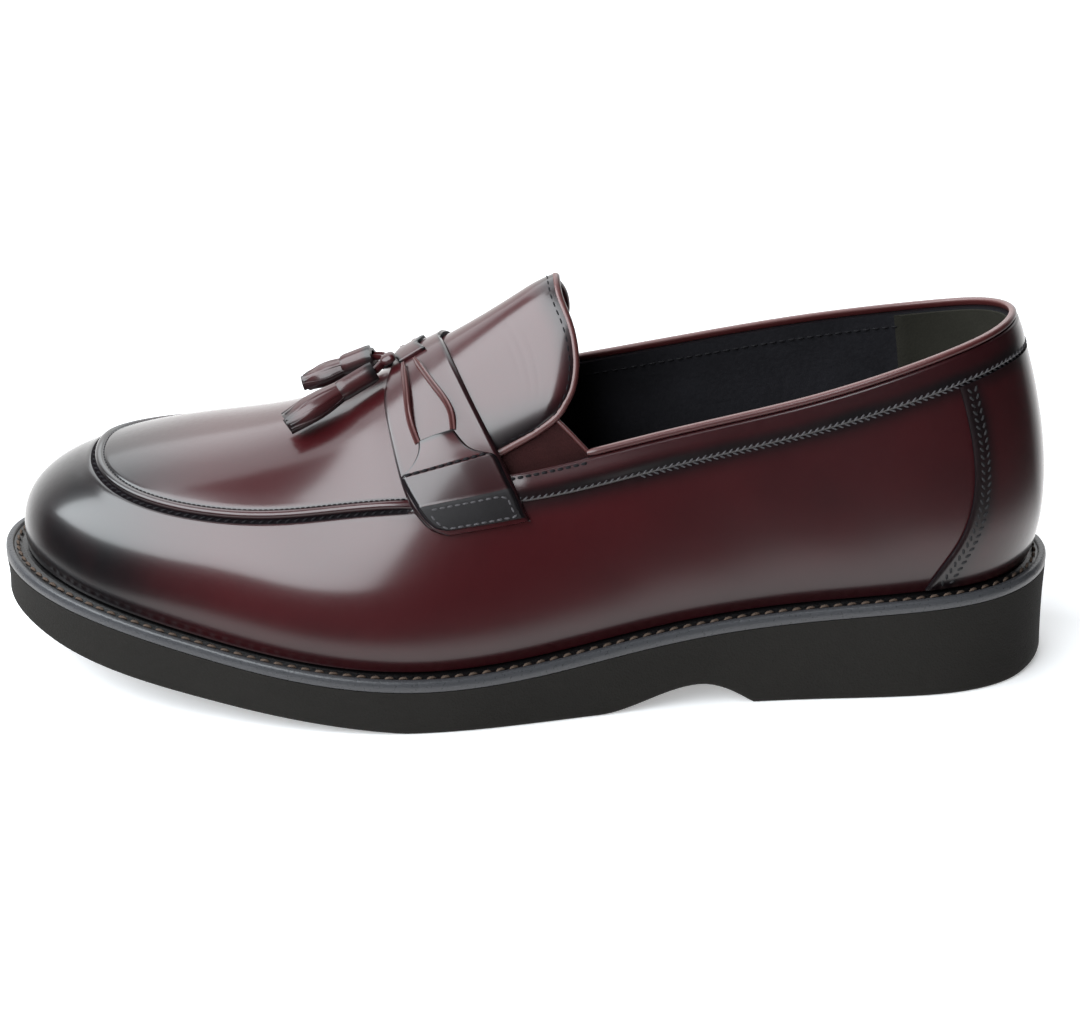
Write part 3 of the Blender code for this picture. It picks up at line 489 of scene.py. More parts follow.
def grid(first, second):
    """Two values over a grid. Each is given by its start, its end and how many steps it takes."""
    return np.meshgrid(np.linspace(*first), np.linspace(*second), indexing="ij")


def grid_faces(columns, rows, closed=False):
    """Quads of a grid stored column by column."""
    c = np.arange(columns if closed else columns - 1)[:, None]
    r = np.arange(rows - 1)[None, :]
    corner = c * rows + r
    beside = (c + 1) % columns * rows + r
    return np.stack([corner, corner + 1, beside + 1, beside], -1).reshape(-1, 4).tolist()


def wall(outer, inner, faces):
    """A closed wall: outer faces, the same faces inside turned round, and a rim along open edges."""
    count = len(outer)
    used = {(a, b) for face in faces for a, b in zip(face, face[1:] + face[:1])}
    inside = [[count + i for i in reversed(face)] for face in faces]
    rim = [[b, a, count + a, count + b] for a, b in used if (b, a) not in used]
    points = np.concatenate([outer, inner])
    parts = [OUTSIDE] * len(faces) + [INSIDE] * len(inside) + [RIM] * len(rim)
    return points, faces + inside + rim, parts


def edge_round(share, width):
    """0 at both ends of a piece and 1 inside, turning like a quarter circle near each end."""
    inside = np.clip(np.minimum(share, 1 - share) / width, 0.0, 1.0)
    return np.sqrt(np.clip(1 - (1 - inside) ** 2, 0.0, 1.0))


# Rounded edges: width as a share of the piece, and the least height at the very edge
Edge = namedtuple("Edge", "width least")


def rounded(share, edge):
    """Like edge_round, from an edge's least height at both ends to 1 inside."""
    return edge.least + (1 - edge.least) * edge_round(share, edge.width)


def bell(x, middle, half):
    """1 at the middle, falling off softly to either side."""
    return np.exp(-(((x - middle) / half) ** 2))


# A change along or across a piece: where it starts and ends, and its full amount
Fade = namedtuple("Fade", "start end amount")


def fade_in(row, x):
    """0 before a row's start, and its amount from its end on."""
    return row.amount * smooth_step(row.start, row.end, x)


def fade_out(row, x):
    """A row's amount up to its start, and 0 from its end on."""
    return row.amount * (1 - smooth_step(row.start, row.end, x))


def shell(t, v, inner_lift, outer_lift):
    """A wall from a grid of ribs and shares, between two lifts."""
    outer = skin(t, v, np.broadcast_to(outer_lift, t.shape)).reshape(-1, 3)
    inner = skin(t, v, np.broadcast_to(inner_lift, t.shape)).reshape(-1, 3)
    return wall(outer, inner, grid_faces(*t.shape))


def lengths_along(points):
    return np.append(0, np.cumsum(np.linalg.norm(np.diff(points, axis=0), axis=1)))


def resample(points, count):
    """Evenly spaced points along a smooth curve through a route's own points."""
    points = np.asarray(points, float)
    lengths = lengths_along(points)
    return Spline(lengths, points)(np.linspace(0, lengths[-1], count))


def tube_faces(rings, sides):
    """Faces of a tube whose points are stored ring by ring, capped at both ends."""
    faces = []
    for ring in range(rings - 1):
        low, high = ring * sides, (ring + 1) * sides
        for i in range(sides):
            j = (i + 1) % sides
            faces.append([low + i, low + j, high + j, high + i])
    faces.append(list(range(sides)))
    faces.append(list(range((rings - 1) * sides, rings * sides)))
    return faces


def sweep(path, ups, section, scale=1.0):
    """A solid from a section of (side, up) points carried along a path, capped at both ends."""
    ahead = unit(np.gradient(path, axis=0))
    side = unit(np.cross(ahead, ups))
    up = np.cross(side, ahead)
    scale = np.broadcast_to(scale, len(path))[:, None, None]
    rings = path[:, None] + scale * (section[:, 0, None] * side[:, None] + section[:, 1, None] * up[:, None])
    return rings.reshape(-1, 3), tube_faces(len(path), len(section))


def oval(width, height, sides=12):
    angle = np.arange(sides) * 2 * math.pi / sides
    return np.stack([width / 2 * np.cos(angle), height / 2 * np.sin(angle)], -1)


def merged(solids):
    """Points and faces of several solids as one mesh."""
    points, faces, start = [], [], 0
    for solid_points, solid_faces in solids:
        points.append(solid_points)
        faces += [[start + i for i in face] for face in solid_faces]
        start += len(solid_points)
    return np.concatenate(points), faces


# Stitches

# Rings of a stitch: share of its length, share of its radius, and rise as a share of its radius
StitchRing = namedtuple("StitchRing", "along size rise")
STITCH_RINGS = (
    StitchRing(-0.5, 0.45, -0.35),
    StitchRing(-0.3, 0.95, 0.0),
    StitchRing(0.0, 1.0, 0.12),
    StitchRing(0.3, 0.95, 0.0),
    StitchRing(0.5, 0.45, -0.35),
)
STITCH_SIDES = 6
ROUTE_POINTS = 400


def stitches(points, normals, pitch, length, radius, slant=0.0):
    """A run of thread stitches: each is a short bent bead that dips into the leather at its ends."""
    lengths = lengths_along(points)
    count = max(int(lengths[-1] / pitch), 1)
    at = (np.arange(count) + 0.5) * lengths[-1] / count

    def at_stitches(rows):
        return np.stack([np.interp(at, lengths, rows[:, k]) for k in range(3)], -1)

    centre = at_stitches(points)
    along = unit(at_stitches(np.gradient(points, lengths, axis=0)))
    up = unit(at_stitches(normals))
    side = unit(np.cross(up, along))
    turned = math.cos(slant) * along + math.sin(slant) * side
    across = unit(np.cross(up, turned))
    corners = []
    for ring in STITCH_RINGS:
        for k in range(STITCH_SIDES):
            angle = 2 * math.pi * k / STITCH_SIDES
            spread = math.cos(angle) * across + math.sin(angle) * up
            out = radius * (ring.size * spread + ring.rise * up)
            corners.append(centre + ring.along * length * turned + out)
    bead = tube_faces(len(STITCH_RINGS), STITCH_SIDES)
    faces = [[s * len(corners) + i for i in face] for s in range(count) for face in bead]
    return np.stack(corners, 1).reshape(-1, 3), faces


def surface_route(ribs, shares, lift, count=ROUTE_POINTS):
    """Points and normals of a smooth route over the last. The lift may change along it."""
    rows = np.stack(np.broadcast_arrays(ribs, shares, lift), -1)
    line = Spline(lengths_along(skin(rows[:, 0], rows[:, 1])), rows)
    t, v, lift = line(np.linspace(0, line.knots[-1], count)).T
    return skin(t, v, lift), skin_normal(t, v)


# Materials

# Surfaces: gloss, noise (scale, detail, weight of its finer layers), least roughness and its range, height of
# the relief in metres, and the second colour as a share of the first
Surface = namedtuple("Surface", "gloss scale detail layers roughness swing height second")
SOCK = Surface(0.50, 900.0, 4.0, 0.60, 0.45, 0.20, 0.0001, 1.8)
LINING = Surface(0.50, 700.0, 4.0, 0.60, 0.40, 0.20, 0.00012, 1.6)
SUEDE = Surface(0.10, 1500.0, 4.0, 0.60, 0.80, 0.20, 0.00015, 0.7)
ELASTIC = Surface(0.15, 2000.0, 4.0, 0.60, 0.70, 0.20, 0.0002, 0.5)
PATCH = Surface(0.40, 900.0, 4.0, 0.60, 0.45, 0.20, 0.00004, 0.6875)
ROLLED = Surface(0.40, 900.0, 4.0, 0.60, 0.35, 0.20, 0.00004, None)
CUT = Surface(0.08, 1800.0, 3.0, 0.50, 0.60, 0.20, 0.0, 2.5)
TWIST = Surface(0.25, 2600.0, 2.0, 0.50, 0.65, 0.20, 0.0001, None)
FOAM = Surface(0.25, 1500.0, 4.0, 0.65, 0.68, 0.20, 0.00025, 1.35)
STRIP = Surface(0.50, 1300.0, 3.0, 0.50, 0.22, 0.15, 0.0001, 1.4)
PAPER = Surface(0.20, 400.0, 3.0, 0.50, 0.80, 0.10, 0.0, 0.985)

LEATHER_IOR = 1.5
LEATHER_GLOSS = 0.35
LEATHER_SWING = 0.1  # range of its roughness
CLOUD_SCALE, CLOUD_DETAIL = 60.0, 3.0
GRAIN_SCALE, GRAIN_DETAIL = 800.0, 1.5
WRINKLE_SCALE, WRINKLE_DETAIL = 320.0, 3.0
GRAIN_IN_RELIEF = 0.25
PORE_RANGE = (0.25, 0.60)
PORE_SHADE = 0.94
PLAIN_CLOUD_DETAIL = 2.0
PLAIN_GRAIN_IN_TONE = 0.4
PLAIN_TONE_RANGE = (0.45, 0.95)
FOAM_CLOUD_SCALE, FOAM_CLOUD_DETAIL = 45.0, 3.0
FOAM_PITS_IN_TONE = 0.6
FOAM_TONE_RANGE = (0.35, 0.7)
ROLL_WAX = 0.75
ROLL_WAX_ROUGHNESS = 0.22


class Socket:
    """An output of a material's node. Arithmetic on it adds Math nodes."""

    def __init__(self, shader, output):
        self.shader = shader
        self.output = output

    def math(self, operation, first, second):
        return self.shader.add("ShaderNodeMath", {"operation": operation}, {0: first, 1: second})

    def __add__(self, other):
        return self.math("ADD", self, other)

    def __sub__(self, other):
        return self.math("SUBTRACT", self, other)

    def __rsub__(self, other):
        return self.math("SUBTRACT", other, self)

    def __mul__(self, other):
        return self.math("MULTIPLY", self, other)

    __radd__ = __add__
    __rmul__ = __mul__


MIX_FACTOR, MIX_FIRST, MIX_SECOND, MIX_COLOUR_OUT = 0, 6, 7, 2


class Nodes:
    """A tree of nodes, added to one at a time."""

    def __init__(self, tree):
        self.tree = tree

    def add(self, kind, settings, inputs, output=0):
        """Any node: its type, its settings, and the values or links of its sockets."""
        node = self.tree.nodes.new(kind)
        for key, value in settings.items():
            setattr(node, key, value)
        for key, value in inputs.items():
            self.feed(node.inputs[key], value)
        return Socket(self, node.outputs[output])

    def feed(self, target, value):
        if isinstance(value, Socket):
            self.tree.links.new(value.output, target)
        else:
            target.default_value = value

    def spread(self, value, low, high, first=0.0, last=1.0):
        """A value's range from low to high, stretched to run from first to last."""
        inputs = {"Value": value, "From Min": low, "From Max": high, "To Min": first, "To Max": last}
        return self.add("ShaderNodeMapRange", {"clamp": True}, inputs)


class Shader(Nodes):
    """The nodes of one material, around its Principled BSDF."""

    def __init__(self, name, **constants):
        self.material = bpy.data.materials.new(name)
        self.material.use_nodes = True
        super().__init__(self.material.node_tree)
        self.surface = self.tree.nodes["Principled BSDF"]
        self.place = self.add("ShaderNodeTexCoord", {}, {}, "Object")
        for key, value in constants.items():
            self.surface.inputs[key.replace("_", " ")].default_value = value

    def set(self, name, value):
        self.feed(self.surface.inputs[name], value)

    def noise(self, scale, detail, layers=0.5):
        inputs = {"Vector": self.place, "Scale": scale, "Detail": detail, "Roughness": layers}
        return self.add("ShaderNodeTexNoise", {}, inputs)

    def attribute(self, name):
        return self.add("ShaderNodeAttribute", {"attribute_name": name}, {}, "Fac")

    def mix(self, factor, first, second):
        inputs = {MIX_FACTOR: factor, MIX_FIRST: colour(first), MIX_SECOND: colour(second)}
        return self.add("ShaderNodeMix", {"data_type": "RGBA"}, inputs, MIX_COLOUR_OUT)

    def bump(self, height, distance):
        inputs = {"Height": height, "Distance": distance, "Strength": 1.0}
        self.set("Normal", self.add("ShaderNodeBump", {}, inputs))


def colour(values):
    """A colour socket's value, or the socket of another node as it is."""
    return values if isinstance(values, Socket) else (*values, 1.0)


def shade(values, factor):
    """A lighter or darker form of a colour."""
    return [factor * value for value in values]


def textured(name, surface, **constants):
    """A shader whose noise gives its roughness and its relief, and that noise."""
    shader = Shader(name, Specular_IOR_Level=surface.gloss, **constants)
    noise = shader.noise(surface.scale, surface.detail, surface.layers)
    shader.set("Roughness", noise * surface.swing + surface.roughness)
    if surface.height:
        shader.bump(noise, surface.height)
    return shader, noise


def leather(name, finish, red, roughness, coat):
    """Burnished leather: red where clear, near black where its mask of burnish and painted shade says so."""
    constants = {"IOR": LEATHER_IOR, "Specular_IOR_Level": LEATHER_GLOSS}
    shader = Shader(name, Coat_Roughness=finish.coat_roughness, **constants)
    cloud = shader.noise(CLOUD_SCALE, CLOUD_DETAIL)
    grain = shader.noise(GRAIN_SCALE, GRAIN_DETAIL)
    wrinkles = shader.noise(WRINKLE_SCALE, WRINKLE_DETAIL)
    # The piece's mask: burnish, and painted shade in grooves, under edges and on turned-down sides
    dark = shader.spread(shader.attribute("burnish") + (cloud - 0.5) * finish.mottle, 0.0, 1.0)
    worn = shader.mix(shader.spread(grain, *PORE_RANGE, PORE_SHADE, 1.0), finish.black, red)
    shader.set("Base Color", shader.mix(dark, worn, finish.black))
    shader.set("Roughness", (grain - 0.5) * LEATHER_SWING + roughness)
    shader.set("Coat Weight", coat)
    shader.bump(grain * GRAIN_IN_RELIEF + wrinkles, finish.grain_depth)
    return shader.material


def plain_leather(name, surface, tone):
    """Unburnished leather or cloth of two close colours with a fine grain."""
    shader, grain = textured(name, surface)
    cloud = shader.noise(CLOUD_SCALE, PLAIN_CLOUD_DETAIL)
    blend = shader.spread(cloud + grain * PLAIN_GRAIN_IN_TONE, *PLAIN_TONE_RANGE)
    shader.set("Base Color", shader.mix(blend, tone, shade(tone, surface.second)))
    return shader.material


def rolled_edge(name, finish):
    """Rolled edges: pale on top as a painted highlight, red on their sides."""
    shader, _ = textured(name, ROLLED, Coat_Weight=ROLL_WAX, Coat_Roughness=ROLL_WAX_ROUGHNESS)
    shader.set("Base Color", shader.mix(shader.attribute("side"), finish.binding, finish.binding_dark))
    return shader.material


def cut_edge(name, finish):
    """Raw edges of the leather, inked and dull."""
    shader, fibre = textured(name, CUT)
    shader.set("Base Color", shader.mix(fibre, finish.black, shade(finish.black, CUT.second)))
    return shader.material


def thread(name, first, second):
    """Twisted sewing thread."""
    shader, twist = textured(name, TWIST)
    shader.set("Base Color", shader.mix(twist, first, second))
    return shader.material


def foam_rubber(name, tone):
    """Matt moulded rubber with a fine pitted face."""
    shader, pits = textured(name, FOAM)
    cloud = shader.noise(FOAM_CLOUD_SCALE, FOAM_CLOUD_DETAIL)
    blend = shader.spread(pits * FOAM_PITS_IN_TONE + cloud * (1 - FOAM_PITS_IN_TONE), *FOAM_TONE_RANGE)
    shader.set("Base Color", shader.mix(blend, tone, shade(tone, FOAM.second)))
    return shader.material


def welt_rubber(name, finish):
    """Smooth rubber, almost black with painted shade in the sunk track of the stitches."""
    shader, pits = textured(name, STRIP)
    rim = shader.mix(pits, finish.welt, shade(finish.welt, STRIP.second))
    shader.set("Base Color", shader.mix(shader.attribute("shade"), rim, finish.welt_track_shade))
    return shader.material


# Settings


def number(name, description, default, **kind):
    return bpy.props.FloatProperty(name=name, description=description, default=default, **kind)


def length(name, description, default):
    """A length, kept in metres."""
    return number(name, description, default * MM, unit="LENGTH")


def share(name, description, default):
    return number(name, description, default, subtype="FACTOR")


def tint(name, description, default):
    return bpy.props.FloatVectorProperty(name=name, description=description, default=default, subtype="COLOR")


class LoaferFinish(bpy.types.PropertyGroup):
    """Colours and gloss of the leather, rubber and thread."""

    red: tint("Red", "Clear oxblood leather", (0.044, 0.0036, 0.0053))
    # Near black of the burnish, also used for the painted shade that the pieces' masks carry
    black: tint("Burnish", "Burnished leather", (0.0042, 0.0030, 0.0038))
    tie: tint("Tie", "Leather of the tie and tassels", (0.050, 0.0080, 0.0095))
    # Pale colour of the rolled edges' tops: a painted highlight
    binding: tint("Binding", "Rubbed top of the rolled edges", (0.125, 0.050, 0.047))
    binding_dark: tint("Binding, dark", "Sides of the rolled edges", (0.054, 0.0095, 0.0095))
    lining: tint("Lining", "Black lining leather", (0.0115, 0.0110, 0.0135))
    heel_lining: tint("Heel lining", "Suede at the back of the inside", (0.030, 0.0285, 0.0225))
    gore: tint("Gore", "Elastic gusset", (0.034, 0.007, 0.007))
    sole: tint("Sole", "Moulded rubber", (0.0098, 0.0086, 0.0072))
    welt: tint("Welt", "Rim of the welt strip", (0.038, 0.0385, 0.042))
    # Painted shade of the welt's sunk track and of the strip within it
    welt_track_shade: tint("Welt, dark", "Sunk track of the welt strip", (0.0025, 0.0023, 0.0025))
    dark_thread: tint("Dark thread", "Thread of the leather's seams", (0.0035, 0.003, 0.004))
    light_thread: tint("Light thread", "Thread of the collar band and the patches", (0.095, 0.090, 0.096))
    welt_thread: tint("Welt thread", "Thread of the welt", (0.115, 0.078, 0.058))
    roughness: share("Roughness", "Of the leather under its polish", 0.32)
    coat: share("Polish", "Share of the leather's wax coat", 1.0)
    coat_roughness: share("Polish roughness", "Of the wax coat", 0.155)
    mottle: share("Mottle", "How far the burnish varies from place to place", 0.35)
    grain_depth: length("Grain depth", "Height of the leather's pores and wrinkles", 0.03)


class LoaferDetail(bpy.types.PropertyGroup):
    """Sizes of the details that the solids leave out."""

    stitch_length: length("Stitch", "Length of a seam's stitch", 2.0)
    stitch_pitch: length("Stitch pitch", "From one stitch to the next", 2.7)
    stitch_radius: length("Thread", "Radius of the seam's thread", 0.32)
    welt_stitch_length: length("Welt stitch", "Length of a stitch of the welt", 2.5)
    welt_stitch_pitch: length("Welt stitch pitch", "From one stitch of the welt to the next", 3.9)
    welt_stitch_radius: length("Welt thread", "Radius of the welt's thread", 0.45)
    tread_depth: length("Tread depth", "Depth of the grooves of the tread", 1.1)
    tread_pitch: length("Tread pitch", "From one groove of the tread to the next", 9.0)


class LoaferStage(bpy.types.PropertyGroup):
    """Camera and lights."""

    azimuth: number("Azimuth", "Of the camera", math.radians(178.0), subtype="ANGLE")
    elevation: number("Elevation", "Of the camera", math.radians(23.0), subtype="ANGLE")
    distance: number("Distance", "From the camera to the middle of the shoe", 1.4, unit="LENGTH")
    lens: number("Lens", "Focal length in millimetres", 162.87)
    floor: tint("Floor", "Pale floor", (0.92, 0.92, 0.93))
    ambient: number("Ambient", "Light from all round", 0.015)
    backdrop: number("Backdrop", "Light from behind the shoe", 1.25)
    underlight: number("Floor light", "Mirrored from the floor", 1.25)


# Sole

LOOP_STEPS = 20  # columns between two ribs
LOOP = np.arange(AROUND * LOOP_STEPS) / LOOP_STEPS
SIDE_ROWS = 10
PLATE_COLUMNS = 36
SOLE_JOINT = 0.05
SOLE_HOLLOW = 0.3
SOLE_EDGE_ANGLES = (30, 60, 90)
TREAD_BOW = 0.004
TREAD_BAR_EDGE = (0.45, 0.75)

# Stretches of the tread along the foot: start, full depth, fading and end
HEEL_TREAD = (9.0, 13.0, HEEL_BREAST_X - 8, HEEL_BREAST_X - 4)
BALL_TREAD = (ARCH_FRONT_X + 2, ARCH_FRONT_X + 8, 270, 282)

# Section of the welt: distance out from the upper's foot, rise from the bed, and its painted shade
WELT_TRACK_OUT = WELT_WIDTH - STITCH_GROOVE_FROM_EDGE
WELT_TRACK_IN = WELT_TRACK_OUT - STITCH_GROOVE_WIDTH
WeltPoint = namedtuple("WeltPoint", "out rise dark")
WELT_PROFILE = (
    WeltPoint(WELT_WIDTH - 0.2, -WELT_THICKNESS, 0.3),
    WeltPoint(WELT_WIDTH, -WELT_THICKNESS + 0.25, 0.0),
    WeltPoint(WELT_WIDTH + 0.1, -1.7, 0.0),
    WeltPoint(WELT_WIDTH, -0.7, 0.0),
    WeltPoint(WELT_WIDTH - 0.25, -0.2, 0.0),
    WeltPoint(WELT_WIDTH - 0.6, 0.0, 0.0),
    WeltPoint(WELT_TRACK_OUT + 0.3, 0.0, 0.1),
    WeltPoint(WELT_TRACK_OUT, -0.12, 1.0),
    WeltPoint(WELT_TRACK_OUT - 0.3, -STITCH_GROOVE_DEPTH, 1.0),
    WeltPoint(WELT_TRACK_IN + 0.3, -STITCH_GROOVE_DEPTH, 1.0),
    WeltPoint(WELT_TRACK_IN, -0.35, 1.0),
    WeltPoint(WELT_TRACK_IN - 0.4, -0.25, 1.0),
    WeltPoint(-WELT_INNER, -0.25, 1.0),
    WeltPoint(-WELT_INNER, -WELT_THICKNESS, 1.0),
)
WELT_STITCH_SLANT = 10
WELT_STITCH_REST = 0.7  # its centre's height in the track, in radii
WELT_THREAD_SHADE = 0.45

SOCK_EDGE = 0.6
DISH_DEPTH = 0.7
DISH_X = 45
DISH_HALF_LENGTH = 26
DISH_HALF_WIDTH = 17


def loop_ring(out, height):
    """A closed ring of points round the shoe."""
    plan = outline(LOOP, out)
    return np.column_stack([plan, height(plan[:, 0])])


def lofted(rings, closed=False):
    """Faces through equal rings of points, and the last to the first where closed."""
    count = len(rings[0])
    faces = []
    for k in range(len(rings) if closed else len(rings) - 1):
        low, high = k * count, (k + 1) % len(rings) * count
        for i in range(count):
            j = (i + 1) % count
            faces.append([low + i, high + i, high + j, low + j])
    return np.concatenate(rings), faces


def plate(points, faces, ring_start, ring, height):
    """Closes a ring with a plate whose surface follows a height."""
    half = len(LOOP) // 2
    shares = (np.arange(PLATE_COLUMNS) + 1) / (PLATE_COLUMNS + 1)
    a, b = ring[1:half, None, :2], ring[:half:-1, None, :2]
    plan = a + (b - a) * shares[:, None]
    rows = np.concatenate([plan, height(plan[..., 0], plan[..., 1])[..., None]], -1)
    start = len(points)
    table = []
    for i in range(half - 1):
        inner = [start + i * PLATE_COLUMNS + k for k in range(PLATE_COLUMNS)]
        table.append([ring_start + i + 1] + inner + [ring_start + len(LOOP) - i - 1])
    for near, far in zip(table, table[1:]):
        faces += [[near[k], far[k], far[k + 1], near[k + 1]] for k in range(len(near) - 1)]
    for end, row in ((ring_start, table[0]), (ring_start + half, table[-1])):
        faces += [[end, row[k], row[k + 1]] for k in range(len(row) - 1)]
    return np.concatenate([points, rows.reshape(-1, 3)]), faces


def within(x, start, full, fading, end):
    """1 within a stretch and 0 outside it, with soft ends."""
    return smooth_step(start, full, x) * (1 - smooth_step(fading, end, x))


def tread_groove(x, y, detail):
    """How far the tread's grooves are sunk at a place: bowed bars across the heel and the ball."""
    wave = np.cos(2 * math.pi * (x + TREAD_BOW * y * y) * MM / detail.tread_pitch)
    stretches = np.maximum(within(x, *HEEL_TREAD), within(x, *BALL_TREAD))
    return detail.tread_depth / MM * smooth_step(*TREAD_BAR_EDGE, wave) * stretches


def joint_height(x):
    """Top of the sole where it meets the welt."""
    return bed_height(x) - WELT_THICKNESS - SOLE_JOINT


def make_outsole(finish, detail):
    """The unit sole: rounded foot edge, slightly hollow side and a tread with bowed bars."""
    low = WELT_WIDTH - SOLE_TAPER
    rings = [loop_ring(low - SOLE_EDGE_ROUND, tread_height)]
    for angle in np.radians(SOLE_EDGE_ANGLES):
        out = low - SOLE_EDGE_ROUND * (1 - math.sin(angle))
        rise = SOLE_EDGE_ROUND * (1 - math.cos(angle))
        rings.append(loop_ring(out, lambda x, rise=rise: tread_height(x) + rise))
    for share_up in np.linspace(0, 1, SIDE_ROWS)[1:]:
        def side_height(x, share_up=share_up):
            bottom = tread_height(x) + SOLE_EDGE_ROUND
            return bottom + share_up * (joint_height(x) - bottom)
        hollow = SOLE_HOLLOW * math.sin(math.pi * share_up)
        rings.append(loop_ring(low + SOLE_TAPER * share_up - hollow, side_height))
    rings.append(loop_ring(-WELT_INNER - GAP, joint_height))
    rings.append(loop_ring(-WELT_INNER - GAP, bed_height))

    def tread(x, y):
        return tread_height(x) + tread_groove(x, y, detail)

    points, faces = lofted(rings)
    top = (len(rings) - 1) * len(LOOP)
    points, faces = plate(points, faces, top, rings[-1], lambda x, y: bed_height(x))
    points, faces = plate(points, faces, 0, rings[0], tread)
    rubber = foam_rubber("sole_rubber", finish.sole)
    return mesh_piece("outsole_unit", points, faces, [rubber], "sole_rubber", ["outsole"])


def make_welt(finish):
    """The welt strip with a rounded rim and a sunk track for its stitches."""
    rings = [loop_ring(p.out, lambda x, rise=p.rise: bed_height(x) + rise) for p in WELT_PROFILE]
    points, faces = lofted(rings, closed=True)
    shade_around = np.repeat([p.dark for p in WELT_PROFILE], len(LOOP))
    rubber = welt_rubber("welt_rubber", finish)
    return mesh_piece("welt_strip", points, faces, [rubber], "welt", ["welt"], shade=shade_around)


def make_welt_thread(finish, detail):
    """The thick stitches in the welt's track, all round."""
    pitch, size = detail.welt_stitch_pitch / MM, detail.welt_stitch_length / MM
    radius = detail.welt_stitch_radius / MM
    rest = WELT_STITCH_REST * radius - STITCH_GROOVE_DEPTH
    path = loop_ring(WELT_TRACK_OUT - STITCH_GROOVE_WIDTH / 2, lambda x: bed_height(x) + rest)
    path = np.concatenate([path, path[:1]])
    ups = np.broadcast_to([0.0, 0.0, 1.0], path.shape)
    points, faces = stitches(path, ups, pitch, size, radius, math.radians(WELT_STITCH_SLANT))
    cotton = thread("welt_thread", finish.welt_thread, shade(finish.welt_thread, WELT_THREAD_SHADE))
    return mesh_piece("welt_thread", points, faces, [cotton], "welt")


def make_insole(finish):
    """The sock lining over the insole board, with a softly dished heel."""
    def board(x, y=0.0):
        return bed_height(x) + GAP

    def top(x, y):
        dish = DISH_DEPTH * bell(x, DISH_X, DISH_HALF_LENGTH) * bell(y, 0.0, DISH_HALF_WIDTH)
        return board(x) + INSOLE_THICKNESS - dish

    inset = -WALL - INSOLE_CLEARANCE
    rings = [
        loop_ring(inset, board),
        loop_ring(inset, lambda x: board(x) + INSOLE_THICKNESS - SOCK_EDGE),
        loop_ring(inset - SOCK_EDGE, lambda x: board(x) + INSOLE_THICKNESS),
    ]
    points, faces = lofted(rings)
    points, faces = plate(points, faces, 2 * len(LOOP), rings[-1], top)
    points, faces = plate(points, faces, 0, rings[0], board)
    sock = plain_leather("sock_leather", SOCK, finish.lining)
    return mesh_piece("sock_lining", points, faces, [sock], "lining", ["insole"])


# Upper

# The apron's seam: height of the leather at a distance up (+) or down (-) from the seam's line
SeamPoint = namedtuple("SeamPoint", "distance lift")
SEAM_PROFILE = (
    SeamPoint(-5.0, 0.00),
    SeamPoint(-3.6, 0.12),
    SeamPoint(-2.6, 0.20),
    SeamPoint(-2.0, 0.12),
    SeamPoint(-1.5, -0.25),
    SeamPoint(-1.2, -0.50),
    SeamPoint(-0.9, -0.60),
    SeamPoint(-0.65, -0.50),
    SeamPoint(-0.45, 0.20),
    SeamPoint(-0.25, 0.85),
    SeamPoint(0.05, 1.20),
    SeamPoint(0.45, 1.40),
    SeamPoint(0.9, 1.42),
    SeamPoint(1.35, 1.28),
    SeamPoint(1.7, 1.02),
    SeamPoint(1.95, 0.66),
    SeamPoint(2.15, 0.42),
    SeamPoint(2.4, 0.42),
    SeamPoint(2.65, 0.58),
    SeamPoint(3.1, 0.62),
    SeamPoint(4.0, 0.60),
)
GROOVE_ROWS = (3, 8)  # rows of the profile that lie in the groove
LOWER_ROWS = 34
MIDDLE_ROWS = 6
APRON_ROWS = 34


def apron_fade(t):
    """1 on the apron, 0 on the quarters, changing over under the strap."""
    return smooth_step(APRON_FADE_START, APRON_FADE_END, np.abs(signed_rib(t)))


def lower_rows(t):
    """Shares and lifts of the upper's columns, from the foot past the seam to the collar's height."""
    seam, fade = seam_share(t), apron_fade(t)
    per_mm = share_per_mm(t, seam)
    profile = np.array(SEAM_PROFILE)
    at_seam = seam[:, None] + profile[:, 0] * per_mm[:, None]
    rib = np.abs(signed_rib(t))
    held = side_rib(signed_rib(t), np.minimum(rib, THROAT))
    edge = collar_share(held)
    blend = smooth_step(THROAT, THROAT + MIDDLE_BLEND, rib)
    middle = edge + blend * (seam + MIDDLE_SHARE * (1 - seam) - edge)
    up = np.linspace(0, 1, LOWER_ROWS + 1)[:-1]
    lower = at_seam[:, :1] * up
    over = at_seam[:, -1:] + (middle[:, None] - at_seam[:, -1:]) * np.linspace(0, 1, MIDDLE_ROWS + 1)[1:]
    v = np.concatenate([lower, at_seam, over], 1)
    lift = np.concatenate([
        np.zeros_like(lower),
        profile[:, 1] * fade[:, None],
        APRON_STEP * fade[:, None] + np.zeros_like(over),
    ], 1)
    return v, lift


# Unevenness of the leather: height, share of the finer waves, and lengths in millimetres per radian
UNDULATION = 0.05
FINE_WAVES = 0.6
BROAD_LENGTHS = (11, 17, 9, 23)
FINE_LENGTHS = (6.1, 7.3, 8.2)

# Burnish along the foot, and painted shade by the height above the welt
TOE_BURNISH = Fade(232, 272, 0.97)
HEEL_BURNISH = Fade(-2, 26, 0.12)
REAR_BURNISH = Fade(60, 150, 0.32)
# Painted shade low on the upper, just above the welt
LOW_SHADE = Fade(1, 16, 0.45)


def undulation(points):
    """The slight unevenness of leather drawn over a last."""
    x, y, z = np.moveaxis(points, -1, 0)
    a, b, c, d = BROAD_LENGTHS
    broad = np.sin(x / a + y / b) * np.sin(z / c - x / d)
    a, b, c = FINE_LENGTHS
    fine = np.sin(x / a - z / b) * np.sin(y / c)
    return UNDULATION * (broad + FINE_WAVES * fine)


